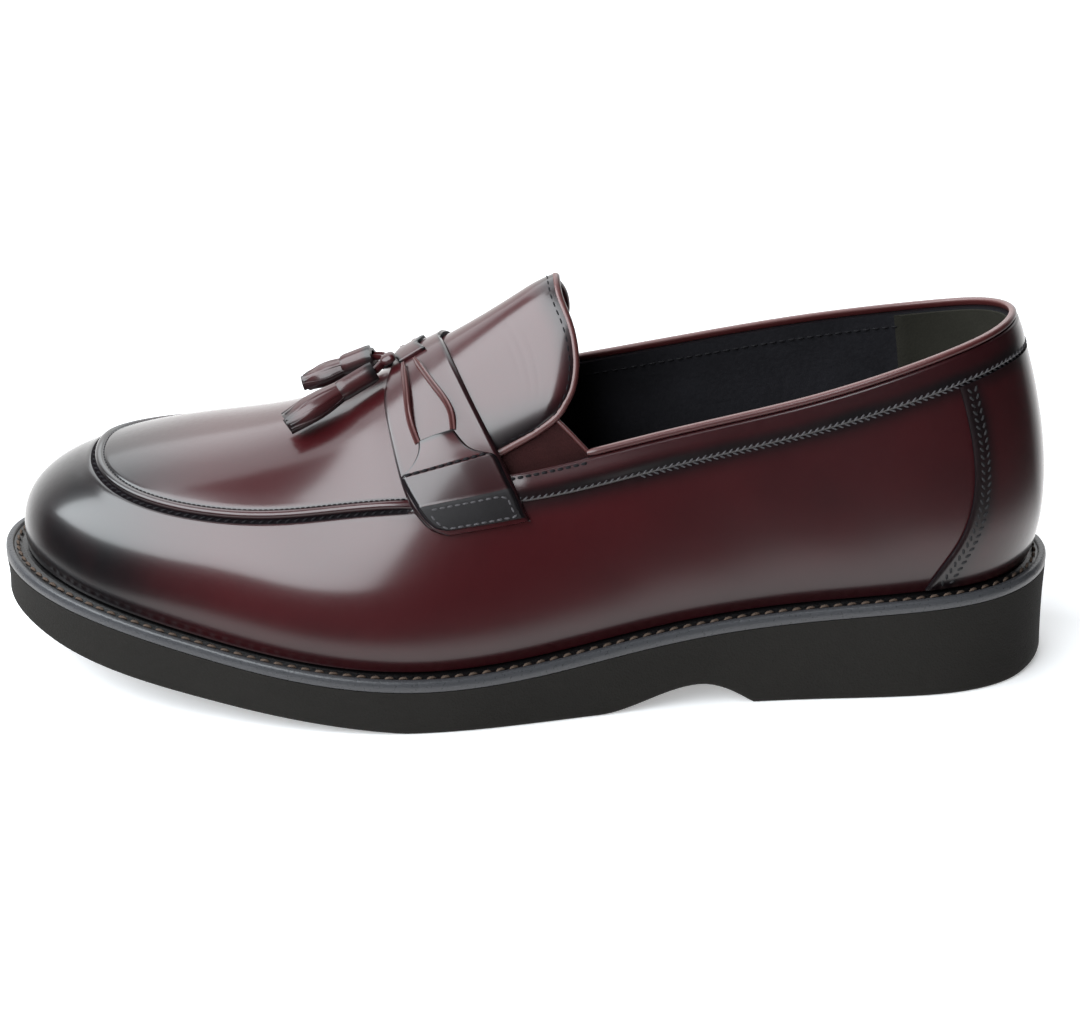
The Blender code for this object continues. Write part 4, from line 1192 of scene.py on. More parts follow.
def burnish(points, edge):
    """0 on clear red leather and 1 where dark: burnish at toe and heel, painted shade by the welt, and the
    edge mask.
    """
    x, _, z = np.moveaxis(points, -1, 0)
    above = z - bed_height(np.clip(x, 0, SOLE_TIP_X))
    clear = (1 - fade_out(LOW_SHADE, above)) * (1 - fade_in(TOE_BURNISH, x))
    clear = clear * (1 - fade_out(HEEL_BURNISH, x)) * (1 - fade_out(REAR_BURNISH, x))
    return 1 - clear * (1 - np.asarray(edge))


def leather_shell(name, node, slot, t, v, lifts, edge, hides):
    """Burnished leather with painted shade from its edge mask, over a grid of ribs and shares, between two
    lifts.
    """
    points, faces, parts = shell(t, v, *lifts)
    mask = burnish(skin(t, v), edge)
    return mesh_piece(name, points, faces, hides, slot, [node], parts if len(hides) > 1 else None,
                      burnish=np.tile(mask.ravel(), 2))


def rolled_piece(name, node, slot, path, ups, section, highlight, rolled, scale=1.0):
    """A rolled strip of leather along a path, with a painted highlight, pale where its section is high."""
    points, faces = sweep(path, ups, section, scale)
    side = 1 - fade_in(highlight, section[:, 1])
    return mesh_piece(name, points, faces, [rolled], slot, [node], side=np.tile(side, len(path)))


# Painted shade in the seam's groove, beside its roll and below the collar band: middle and half width, in
# millimetres up from its line
GROOVE_LINE = (-1.0, 1.3)
ROLL_LINE = (2.3, 0.5)
BELOW_BAND_LINE = (-0.5, 3.0)
GROOVE_SHADE = 0.9
BELOW_BAND_SHADE = 0.75


def apron_grid(t, v):
    """Faces of the apron, whose two halves meet along the ridge, and its rows of rib, share and lift."""
    rows = v.shape[1]
    front = np.flatnonzero(np.abs(t - TOE) <= TOE - THROAT + TINY).tolist()
    columns, places = [], []
    for k, c in enumerate(front):
        column = [c * rows + rows - 1]
        mirror = len(front) - 1 - k
        for r, s in enumerate(np.linspace(0, 1, APRON_ROWS + 1)[1:]):
            if r == APRON_ROWS - 1 and mirror < k:
                column.append(columns[mirror][-1])
                continue
            column.append(v.size + len(places))
            places.append((t[c], v[c, -1] + s * (1 - v[c, -1]), APRON_STEP * apron_fade(t[c])))
        columns.append(column)
    faces = []
    for near, far in zip(columns, columns[1:]):
        for r in range(APRON_ROWS):
            face = list(dict.fromkeys([near[r], near[r + 1], far[r + 1], far[r]]))
            if len(face) > 2:
                faces.append(face)
    return faces, np.array(places)


def make_upper(hides):
    """Vamp, quarters and apron as one wall with the apron's rolled seam, lined in black."""
    t = np.unique(np.concatenate([LOOP, [THROAT, AROUND - THROAT]]))
    v, lift = lower_rows(t)
    rows = v.shape[1]
    apron_faces, apron = apron_grid(t, v)
    faces = grid_faces(len(t), rows, closed=True) + apron_faces
    flat_t = np.append(t.repeat(rows), apron[:, 0])
    flat_v = np.append(v, apron[:, 1])
    flat_lift = np.append(lift, apron[:, 2])
    outer = skin(flat_t, flat_v, flat_lift + undulation(skin(flat_t, flat_v)))
    inner = skin(flat_t, flat_v, -WALL)
    points, faces, parts = wall(outer, inner, faces)
    # The groove's faces take the black inked edge material, as painted shade
    for column in np.flatnonzero(apron_fade(t) > 0.5):
        for row in range(*GROOVE_ROWS):
            parts[column * (rows - 1) + LOWER_ROWS + row] = RIM
    # Painted shade: dark lines in the seam's groove and beside its roll, and below the collar band's edge
    seam, fade = seam_share(flat_t), apron_fade(flat_t)
    off_seam = (flat_v - seam) / share_per_mm(flat_t, seam)
    groove = GROOVE_SHADE * (bell(off_seam, *GROOVE_LINE) + bell(off_seam, *ROLL_LINE)) * fade
    below_band = BELOW_BAND_SHADE * bell(off_seam, *BELOW_BAND_LINE) * (1 - fade)
    mask = burnish(outer, np.clip(groove + below_band, 0, 1))
    return mesh_piece("upper_leather", points, faces, hides, "upper_leather", ["upper"], parts,
                      burnish=np.tile(mask, 2))


HEEL_LINING_END = 2.27
HEEL_LINING_FOOT = 0.25
HEEL_LINING_INSET = 0.004
HEEL_LINING_EDGE = 0.01
SUEDE_GAP = 0.02
SUEDE_LEAST = 0.05
SUEDE_THICKNESS = 0.5


def make_heel_lining(finish):
    """The suede heel grip inside the collar."""
    t, s = grid((-HEEL_LINING_END, HEEL_LINING_END, 90), (HEEL_LINING_FOOT, 1.0, 30))
    v = s * (collar_share(t) - HEEL_LINING_INSET)
    rise = edge_round((t + HEEL_LINING_END) / (2 * HEEL_LINING_END), HEEL_LINING_EDGE)
    points, faces, _ = shell(t, v, -WALL - SUEDE_LEAST - SUEDE_THICKNESS * rise, -WALL - SUEDE_GAP)
    suede = plain_leather("heel_suede", SUEDE, finish.heel_lining)
    return mesh_piece("heel_lining", points, faces, [suede], "lining")


# Pieces sewn on the quarters: lifts of their two faces, and the collar band's padding and painted shades
SEWN_UNDER = 0.05
SEWN_BASE = 0.15
BAND_EDGE = Edge(0.07, 0.35)
BAND_FLAT = 0.90
BAND_BELLY = 0.15
BAND_FRONT_BELLY = Fade(3.4, 4.5, 0.50)
BAND_END_LOSS = Fade(BAND_FADE, COLLAR_BAND_END, 0.3)
BAND_LEAST_SHADE = 0.35
BAND_FOOT_SHADE = Fade(0.22, 0.62, 0.6)


def make_collar_band(hides):
    """The padded band sewn round the opening."""
    t, s = grid((-COLLAR_BAND_END, COLLAR_BAND_END, 300), (0, 1, 22))
    low, high = seam_share(t), collar_share(t)
    v = low + s * (high - low)
    belly = BAND_BELLY + fade_in(BAND_FRONT_BELLY, np.abs(t))
    puff = rounded(s, BAND_EDGE) * (BAND_FLAT + belly * np.sin(math.pi * s) ** 2)
    puff = puff * (1 - fade_in(BAND_END_LOSS, np.abs(t)))
    lifts = (SEWN_UNDER, SEWN_BASE + OVERLAY * puff)
    # Painted shade over the band, darkest towards its foot below the padding
    edge = BAND_LEAST_SHADE + fade_out(BAND_FOOT_SHADE, s)
    return leather_shell("collar_cuff", "collar_band", "upper_leather", t, v, lifts, edge, hides)


HEEL_PIECE_EDGE = Edge(0.008, 0.6)
HEEL_PIECE_SIDE_SHADE = Fade(0.08, 0.20, 0.85)
HEEL_PIECE_TOP_SHADE = Fade(0.93, 1.0, 0.8)


def counter_place(across, share_up):
    t = across * COUNTER_LINE(share_up)[..., 0]
    return t, share_up * (seam_share(t) - COUNTER_SEAM_SHARE)


def make_heel_piece(hides):
    """The counter piece round the heel."""
    across, s = grid((-1, 1, 150), (COUNTER_FOOT_SHARE, 1, 44))
    t, v = counter_place(across, s)
    rise = rounded((across + 1) / 2, HEEL_PIECE_EDGE)
    lifts = (SEWN_UNDER, SEWN_BASE + (OVERLAY - SEWN_UNDER) * rise)
    # Painted shade under the collar band at its top; along its front edges partly burnish, partly painted
    # shade at the step
    edge = np.maximum(fade_out(HEEL_PIECE_SIDE_SHADE, 1 - np.abs(across)), fade_in(HEEL_PIECE_TOP_SHADE, s))
    return leather_shell("heel_piece", "heel_counter", "upper_leather", t, v, lifts, edge, hides)


COLLAR_ROLL_RISE = 1.15
COLLAR_ROLL_END = 4.51
COLLAR_ROLL_SIZE = (2.5, 2.2)
# Painted highlight along the top of the collar's roll
COLLAR_ROLL_HIGHLIGHT = Fade(0.25, 1.0, 1.0)
COLLAR_ROLL_STEPS = 260
COLLAR_ROLL_ENDS = Edge(2 / (COLLAR_ROLL_STEPS - 1), 0.6)  # closing over two steps
FLAT_INSIDE = 0.7
FLAT_POWER = 0.4


def folded_edge(width, height, sides=24):
    """Section of a rolled edge: round outside, flattened on the side turned into the shoe."""
    angle = np.arange(sides) * 2 * math.pi / sides
    side = np.cos(angle)
    side = np.where(side > 0, FLAT_INSIDE * np.abs(side) ** FLAT_POWER, side)
    return np.stack([width / 2 * side, height / 2 * np.sin(angle)], -1)


def make_collar_roll(rolled):
    """The rolled binding along the edge of the opening."""
    t = np.linspace(-COLLAR_ROLL_END, COLLAR_ROLL_END, COLLAR_ROLL_STEPS)
    v = collar_share(t)
    up = unit(on_rib(t, v + SHARE_STEP) - on_rib(t, v - SHARE_STEP))
    path = skin(t, v, (OVERLAY + GAP - WALL) / 2) + COLLAR_ROLL_RISE * up
    scale = rounded(np.linspace(0, 1, COLLAR_ROLL_STEPS), COLLAR_ROLL_ENDS)
    return rolled_piece("collar_roll", "collar_binding", "binding_leather", path, up,
                        folded_edge(*COLLAR_ROLL_SIZE), COLLAR_ROLL_HIGHLIGHT, rolled, scale)


# Tongue

# Soft creases of the tongue: centre across and along, half sizes and depth
Crease = namedtuple("Crease", "across along half_across half_along depth")
TONGUE_CREASES = (
    Crease(0.45, 0.70, 0.20, 0.014, 0.09),
    Crease(0.50, 0.76, 0.18, 0.012, 0.08),
    Crease(0.42, 0.64, 0.14, 0.014, 0.06),
    Crease(-0.40, 0.72, 0.20, 0.014, 0.08),
)
TONGUE_REAR_SHADE = Fade(0.86, 1.0, 0.85)
TONGUE_SIDE_SHADE = Fade(0.62, 0.95, 0.9)
SIDE_CURL = 1.5
SIDE_CURL_START = 0.76
REAR_CURL = 0.9
REAR_CURL_START = 0.85
REAR_CURL_AT_SIDES = Fade(0.25, 0.55, 0.2)
CURL_LIMIT = 1.7
RIM_SIDE_INSET = 1.6  # inset of the rim at the sides, over that at the rear
TONGUE_ROLL_OUT = 0.35
TONGUE_ROLL_DEPTH = 1.6
TONGUE_ROLL_STEPS = 240
TONGUE_ROLL_SECTION = oval(2.3, 2.2, 16)
# Painted highlight along the top of the tongue's roll
TONGUE_ROLL_HIGHLIGHT = Fade(0.3, 1.0, 0.7)
GORE_RIB_HEIGHT = 0.10
GORE_RIB_WAVES = 60  # radians over the gusset's height
GORE_EDGE_LIFT = 0.1
GORE_EDGE_SECTION = oval(1.3, 1.1)
# Share of the rolled edges' red on the gusset's edge; the rest is the pale of the painted highlight
GORE_EDGE_SIDE = 0.8


def tongue_place(across, along):
    """Rib and share of a place: across from -1 (medial) to 1 (lateral), along from front to back."""
    down = np.abs(across)
    rib, share_up = np.moveaxis(TONGUE_REAR(down), -1, 0)
    front = 1 - down * (1 - TONGUE_FRONT_SHARE)
    t = side_rib(np.where(across >= 0, 1, -1), TONGUE_FRONT + along * (rib - TONGUE_FRONT))
    return t, level_share(t, front + along * (share_up - front))


def tongue_lift(across, along):
    """Lift of the tongue's face, drawn in a little towards its sides and its rear edge."""
    side = np.abs(across)
    sides = SIDE_CURL * np.clip((side - SIDE_CURL_START) / (1 - SIDE_CURL_START), 0.0, 1.0) ** 2
    at_rear = np.clip((along - REAR_CURL_START) / (1 - REAR_CURL_START), 0.0, 1.0) ** 2
    rear = (REAR_CURL + fade_in(REAR_CURL_AT_SIDES, side)) * at_rear
    return TONGUE_LIFT - np.minimum(sides + rear, CURL_LIMIT)


def make_tongue(hide):
    """The tongue behind the strap, with a few soft creases."""
    across, along = grid((1, -1, 161), (0, 1, 90))
    t, v = tongue_place(across, along)
    lift = tongue_lift(across, along) + undulation(skin(t, v))
    for c in TONGUE_CREASES:
        lift = lift - c.depth * bell(across, c.across, c.half_across) * bell(along, c.along, c.half_along)
    lifts = (TONGUE_LIFT - TONGUE_THICKNESS, lift)
    # Painted shade towards its rear edge and its sides, where the tongue curls under
    edge = np.maximum(fade_in(TONGUE_REAR_SHADE, along), fade_in(TONGUE_SIDE_SHADE, np.abs(across)))
    return leather_shell("tongue_leather", "tongue", "upper_leather", t, v, lifts, edge, [hide])


def tongue_rim(inset):
    """Ribs, shares and lifts of the tongue's free edge, from under the strap over the top and back."""
    tuck = np.linspace(TONGUE_BINDING_START, 1.0 - inset, 30)[:-1]
    side = 1.0 - RIM_SIDE_INSET * inset
    over = np.linspace(side, -side, 160)
    across = np.concatenate([np.full(len(tuck), side), over, np.full(len(tuck), -side)])
    along = np.concatenate([tuck, np.full(len(over), 1.0 - inset), tuck[::-1]])
    return *tongue_place(across, along), tongue_lift(across, along)


def make_tongue_roll(rolled):
    """The rolled binding along the tongue's free edge."""
    t, v, lift = tongue_rim(0.0)
    points = skin(t, v, np.maximum(lift - TONGUE_THICKNESS / 2, -TONGUE_ROLL_DEPTH))
    normal = skin_normal(t, v)
    out = unit(np.cross(np.gradient(points, axis=0), normal))
    path = resample(points + TONGUE_ROLL_OUT * out, TONGUE_ROLL_STEPS)
    ups = resample(normal, TONGUE_ROLL_STEPS)
    return rolled_piece("tongue_roll", "tongue_binding", "binding_leather", path, ups,
                        TONGUE_ROLL_SECTION, TONGUE_ROLL_HIGHLIGHT, rolled)


def make_gore(name, side, elastic, rolled):
    """The elastic gusset between the tongue's corner and the quarter, and its bound edge."""
    t, s = grid((GORE_EDGE[0].rib, GORE_EDGE[-1].rib, 50), (0, 1, 24))
    if side < 0:
        t = t[::-1]
    rib = side_rib(side, t)
    low = collar_share(rib)
    high = np.maximum(level_share(rib, GORE_LINE(t)[..., 0]), low + GORE_LEAST_SHARE)
    v = low - GORE_TUCK_SHARE + s * (high - low + GORE_TUCK_SHARE)
    ribbing = GORE_RIB_HEIGHT * np.sin(GORE_RIB_WAVES * s)
    points, faces, _ = shell(rib, v, -GORE_DEPTH - GORE_THICKNESS, ribbing - GORE_DEPTH)
    mesh_piece(f"gusset_{name}", points, faces, [elastic], "gore_elastic", [f"gore_{name}"])
    edge_t = np.linspace(GORE_EDGE[0].rib, GORE_EDGE[2].rib, 24)
    edge_rib = side_rib(side, edge_t)
    edge_v = level_share(edge_rib, GORE_LINE(edge_t)[..., 0])
    path = skin(edge_rib, edge_v, GORE_EDGE_LIFT - GORE_DEPTH)
    points, faces = sweep(path, skin_normal(edge_rib, edge_v), GORE_EDGE_SECTION)
    return mesh_piece(f"gusset_edge_{name}", points, faces, [rolled], "binding_leather", side=GORE_EDGE_SIDE)


# Strap and tie

STRAP_PRESSED = 0.4
STRAP_BASE = 0.25
STRAP_DRAPE = Fade(0.0, 0.4, 0.3)
STRAP_END_DRAPE = Fade(0.6, 1.0, 0.5)
STRAP_EDGE = Edge(0.02, 0.5)
STRAP_END = Edge(0.004, 0.5)
STRAP_EDGE_SHADE = Fade(0.01, 0.08, 0.9)
STRAP_LEAST_SHADE = 0.10


def strap_lift(t):
    """Lift of the strap, pressed a little closer to the upper than the solid one."""
    share_front = (t - STRAP_REAR) / (STRAP_FRONT - STRAP_REAR)
    return STRAP_REAR_LIFT - STRAP_PRESSED + (STRAP_FRONT_LIFT - STRAP_REAR_LIFT) * share_front


def strap_drape(across):
    """How far the strap is drawn down towards its rear edge."""
    return fade_out(STRAP_DRAPE, across)


def row_place(rows, down, across):
    """Rib and share of a place in a table of rows: down from 0 to 1, across from rear to front."""
    table = Spline(np.linspace(0, 1, len(rows)), rows)
    rear_rib, rear_share, front_rib, front_share = np.moveaxis(table(down), -1, 0)
    return rear_rib + across * (front_rib - rear_rib), rear_share + across * (front_share - rear_share)


def from_edge(across):
    """Distance to the nearer edge, as a share of the width."""
    return np.minimum(across, 1 - across)


def make_strap(hides):
    """The saddle strap across the instep."""
    across, way = grid((0, 1, 40), (1, -1, 201))
    t, v = row_place(STRAP_ROWS, np.abs(way), across)
    rib = side_rib(np.where(way >= 0, 1, -1), t)
    rise = np.minimum(rounded(across, STRAP_EDGE), rounded((way + 1) / 2, STRAP_END))
    drape = strap_drape(across) + fade_in(STRAP_END_DRAPE, np.abs(way))
    under = strap_lift(t) - STRAP_BASE - drape
    lifts = (under, under + STRAP_BASE + STRAP_THICKNESS * rise)
    # Darker along both edges: partly burnished edges, partly a painted shadow line
    edge = np.maximum(fade_out(STRAP_EDGE_SHADE, from_edge(across)), STRAP_LEAST_SHADE)
    return leather_shell("saddle_strap", "strap", "upper_leather", rib, v, lifts, edge, hides)


# The tabs: places are shares of their length from the top down, heights are in millimetres
TAB_SEAM = 0.42
TAB_PATCH_TOP = 0.70
TAB_SLANT = 0.5  # how far the tab's face stands in from the foot of its cut edges
TAB_LENGTH = 38.0
TAB_REST = 0.1
TAB_LEAST = 0.3  # thickness
TAB_EDGE = Edge(0.02, 0.5)
TAB_SUNK = 0.4
TAB_SUNK_HALF = 0.018
TAB_PATCH_RISE = Fade(TAB_PATCH_TOP - 0.012, TAB_PATCH_TOP + 0.012, 0.35)
TAB_DRAPED = Fade(0.2, TAB_SEAM, 1.0)
TAB_FOOT_DRAPE = Fade(TAB_SEAM, 1.0, 0.8)
TAB_BULGE = Fade(0.0, TAB_SEAM, 0.7)  # how far its upper part swells over the strands' ends
TAB_EDGE_SHADE = Fade(0.015, 0.08, 1.0)
TAB_SEAM_SHADE = 0.9
TAB_SEAM_SHADE_HALF = 0.02
TAB_LOWER_SHADE = Fade(TAB_SEAM, TAB_SEAM + 0.05, 0.55)
TAB_FOOT_SHADE = Fade(TAB_PATCH_TOP - 0.02, TAB_PATCH_TOP + 0.03, 0.9)
TAB_LEAST_SHADE = 0.1
PATCH_PART = 3  # number of the patch's own material
PATCH_TONE = 1.6


def tab_place(down, across):
    return row_place(TAB_ROWS, down, across)


def tab_lift(t, across, down):
    """Lift of the tab's outer face: rounded edges, a sunk seam and the raised patch at its foot."""
    rise = np.minimum(rounded(across, TAB_EDGE), rounded(down, TAB_EDGE))
    thickness = TAB_THICKNESS + TAB_REST + fade_in(TAB_PATCH_RISE, down)
    sunk = TAB_SUNK * bell(down, TAB_SEAM, TAB_SUNK_HALF)
    drape = strap_drape(across) * fade_in(TAB_DRAPED, down) + fade_in(TAB_FOOT_DRAPE, down)
    bulge = fade_out(TAB_BULGE, down) * np.sin(math.pi * across)
    return strap_lift(t) + STRAP_THICKNESS + TAB_REST + thickness * rise - sunk - drape + bulge


def tab_face(down, across):
    """Rib and share of the tab's outer face, which stands in from the foot of its cut edges."""
    rear, front = (skin(*tab_place(down, np.full_like(down, end))) for end in (0.0, 1.0))
    narrow = TAB_SLANT / np.linalg.norm(front - rear, axis=-1)
    start = TAB_SLANT / TAB_LENGTH
    return tab_place(start + (1 - start) * down, narrow + (1 - 2 * narrow) * across)


def make_tab(name, side, hides):
    """The tab sewn over one end of the strap, with a darker patch at its foot and slanted cut edges."""
    across, down = grid((0, 1, 48), (1, 0, 110))
    if side < 0:
        across = across[::-1]
    foot_t, foot_v = tab_place(down, across)
    t, v = tab_face(down, across)
    rib = side_rib(side, t)
    lift = tab_lift(t, across, down)
    on_strap = strap_lift(foot_t) + STRAP_THICKNESS - TAB_REST - strap_drape(across)
    outer = skin(rib, v, lift).reshape(-1, 3)
    inner = skin(side_rib(side, foot_t), foot_v, np.minimum(on_strap, lift - TAB_LEAST)).reshape(-1, 3)
    points, faces, parts = wall(outer, inner, grid_faces(*t.shape))
    for face in np.flatnonzero((down[:-1, 1:] + down[:-1, :-1]) / 2 > TAB_PATCH_TOP):
        parts[face] = PATCH_PART
    # Painted shade along the edges, partly burnished, in the sunk seam and on the lower part; the foot is the
    # dark patch
    shades = [
        fade_out(TAB_EDGE_SHADE, np.minimum(from_edge(across), down)),
        TAB_SEAM_SHADE * bell(down, TAB_SEAM, TAB_SEAM_SHADE_HALF),
        fade_in(TAB_LOWER_SHADE, down),
        fade_in(TAB_FOOT_SHADE, down),
        np.full(t.shape, TAB_LEAST_SHADE),
    ]
    mask = burnish(skin(rib, v), np.max(shades, 0))
    return mesh_piece(f"saddle_tab_{name}", points, faces, hides, "upper_leather", [f"strap_tab_{name}"],
                      parts, burnish=np.tile(mask.ravel(), 2))


# Section of a thong: a strip folded along its length, with its fold on top
SectionPoint = namedtuple("SectionPoint", "side up")
THONG_SECTION = np.array([
    SectionPoint(-0.85, -0.85),
    SectionPoint(0.85, -0.85),
    SectionPoint(0.98, -0.2),
    SectionPoint(0.9, 0.45),
    SectionPoint(0.6, 0.75),
    SectionPoint(0.22, 0.6),
    SectionPoint(0.0, 0.35),
    SectionPoint(-0.22, 0.6),
    SectionPoint(-0.6, 0.75),
    SectionPoint(-0.9, 0.45),
    SectionPoint(-0.98, -0.2),
])
THONG_TUCK_SHARE = 0.022
THONG_DIP = 1.3
THONG_STEPS = 60
THONG_NARROWING = Fade(0.85, 1.0, 0.45)
# Painted highlight along the strands' top
THONG_HIGHLIGHT = Fade(0.2, 0.7, 0.45)
KEEPER_REST = 0.1
KEEPER_PRESSED = 0.9
KEEPER_EDGE = Edge(0.12, 0.6)
KEEPER_END = Edge(0.08, 0.6)
KEEPER_EDGE_SHADE = Fade(0.05, 0.25, 1.0)
KEEPER_LEAST_SHADE = 0.25
BEND_TO_CAP = 0.05
BEND_SIZE = 1.1
BEND_STEPS = 40
BEAD_SHARE = 0.965
BEAD_RIBS = (KEEPER_FRONT - 0.01, KEEPER_FRONT + 0.17)
BEAD_RISE = 0.2
BEAD_STEPS = 14
BEAD_SECTION = oval(4.6, 3.0, 16)
BEAD_ENDS = Edge(0.4, 0.45)
BEND_SHADE = 0.15


def make_thong(name, word, side, route, rolled):
    """One strand of the tie, lying on the strap from the tab's top to under the keeper."""
    t = np.array([p.rib for p in route])
    v = np.array([p.share for p in route])
    v[0] -= THONG_TUCK_SHARE
    lift = strap_lift(t) + STRAP_THICKNESS + THONG_RADIUS
    lift[0] -= THONG_DIP
    rib = side_rib(side, t)
    path = resample(skin(rib, v, lift), THONG_STEPS)
    ups = resample(skin_normal(rib, v), THONG_STEPS)
    scale = 1 - fade_in(THONG_NARROWING, np.linspace(0, 1, THONG_STEPS))
    return rolled_piece(f"strand_{name}_{word}", f"thong_{name}_{word}", "tie_leather", path, ups,
                        THONG_SECTION, THONG_HIGHLIGHT, rolled, scale)


def make_keeper(hide):
    """The flat band that holds the strands."""
    across, way = grid((0, 1, 24), (1, -1, 41))
    t = KEEPER_REAR + across * (KEEPER_FRONT - KEEPER_REAR)
    v = 1 - np.abs(way) * (1 - KEEPER_SHARE)
    rib = side_rib(np.where(way >= 0, 1, -1), t)
    rise = np.minimum(rounded(across, KEEPER_EDGE), rounded((way + 1) / 2, KEEPER_END))
    under = strap_lift(t) + STRAP_THICKNESS + KEEPER_REST
    lifts = (under, under + KEEPER_REST + (KEEPER_THICKNESS - KEEPER_PRESSED) * rise)
    edge = np.maximum(KEEPER_LEAST_SHADE, fade_out(KEEPER_EDGE_SHADE, from_edge(across)))
    return leather_shell("keeper_band", "tie_keeper", "tie_leather", rib, v, lifts, edge, [hide])


def tassel_frame(row):
    """Start, direction, side and up of a tassel that lies on the apron."""
    t = np.array([side_rib(row.side, row.rib0), side_rib(row.side, row.rib1)], float)
    v = np.array([row.share0, row.share1])
    start, end = skin(t, v, APRON_STEP + GAP + TASSEL_CAP_RADIUS + TASSEL_REST)
    along = unit(end - start)
    across = unit(np.cross(skin_normal(t, v).sum(0), along))
    return start, along, across, np.cross(along, across)


def make_tie_bend(hide):
    """The thong in front of the keeper, bent from cap to cap, and the bead of leather over it."""
    frames = [tassel_frame(row) for row in TASSELS]
    lateral, medial = [start - BEND_TO_CAP * along for start, along, _, _ in frames]
    path = resample([lateral, skin(LOOP_RIB, 1.0, LOOP_LIFT), medial], BEND_STEPS)
    ups = np.broadcast_to(skin_normal(LOOP_RIB, 1.0), path.shape)
    bend = sweep(path, ups, THONG_SECTION * BEND_SIZE)
    bead_t = np.linspace(*BEAD_RIBS, BEAD_STEPS)
    bead_path = skin(bead_t, BEAD_SHARE, LOOP_LIFT + BEAD_RISE)
    swell = rounded(np.linspace(0, 1, BEAD_STEPS), BEAD_ENDS)
    bead = sweep(bead_path, skin_normal(bead_t, BEAD_SHARE), BEAD_SECTION, swell)
    points, faces = merged([bend, bead])
    return mesh_piece("tie_bend", points, faces, [hide], "tie_leather", ["tie_loop"], burnish=BEND_SHADE)


# Tassels

ROLL_TURNS = 1.7
ROLL_SHEET = 0.85
ROLL_GAP = 0.12
ROLL_STEPS = 52
CAP_STEPS = 10
CAP_ENDS = Edge(0.2, 0.94)
CAP_REAR_SHADE = Fade(0.08, 0.36, 0.95)
CAP_FRONT_SHADE = Fade(0.85, 1.0, 0.6)
TASSEL_LEAST_SHADE = 0.1
TASSEL_UNDER_SHADE = Fade(-0.35, 0.45, 0.85)

STRIPS = 8
STRIP_STEPS = 14
STRIP_TURN = 0.25
STRIP_ROOT = 1.5  # how far the strips start inside the cap
STRIP_ROOT_RADIUS = 2.3
STRIP_REACH = 0.9
STRIP_RAGGED = 1.3
RAGGED_STEP = 5
STRIP_SPREAD = Fade(0.0, 0.9, 1.0)
STRIP_ROOT_SIZE = 0.62
STRIP_TIP_SIZE = 0.86
STRIP_TIP_OUT = 0.8
STRIP_BELLY = 0.16
STRIP_BELLY_POWER = 0.8
STRIP_CLOSING = Fade(0.55, 1.0, 0.22)
STRIP_TIP_SHADE = Fade(0.7, 1.0, 0.9)
STRIP_SECTION = np.array([
    SectionPoint(-2.3, -0.35),
    SectionPoint(2.3, -0.35),
    SectionPoint(2.45, 0.0),
    SectionPoint(2.2, 0.4),
    SectionPoint(0.8, 0.55),
    SectionPoint(-0.8, 0.55),
    SectionPoint(-2.2, 0.4),
    SectionPoint(-2.45, 0.0),
])


def roll_section(radius):
    """A sheet of leather rolled up on itself, as a closed outline."""
    turn = np.linspace(0, 1, ROLL_STEPS)
    angle = 2 * math.pi * ROLL_TURNS * turn + math.pi / 2
    around = np.stack([np.cos(angle), np.sin(angle)], -1)
    outer = (radius - ROLL_TURNS * (ROLL_SHEET + ROLL_GAP) * turn)[:, None]
    return np.concatenate([outer * around, ((outer - ROLL_SHEET) * around)[::-1]])


def tassel_shade(row, points):
    """Painted shade on a tassel: clear on top, dark on the sides that are turned down."""
    start, along, _, up = tassel_frame(row)
    out = points - start
    out = unit(out - (out @ along)[:, None] * along)
    return TASSEL_LEAST_SHADE + fade_out(TASSEL_UNDER_SHADE, out @ up)


def make_tassel_roll(row, hide):
    """The tassel's cap: a strip of leather rolled round the strands."""
    start, along, _, up = tassel_frame(row)
    s = np.linspace(0, 1, CAP_STEPS)
    path = start + row.cap * s[:, None] * along
    section = roll_section(TASSEL_CAP_RADIUS)
    points, faces = sweep(path, np.broadcast_to(up, path.shape), section, rounded(s, CAP_ENDS))
    s = s.repeat(len(section))
    mask = np.max([fade_out(CAP_REAR_SHADE, s), fade_in(CAP_FRONT_SHADE, s), tassel_shade(row, points)], 0)
    return mesh_piece(f"tassel_roll_{row.name}", points, faces, [hide], "tie_leather",
                      [f"tassel_cap_{row.name}"], burnish=mask)


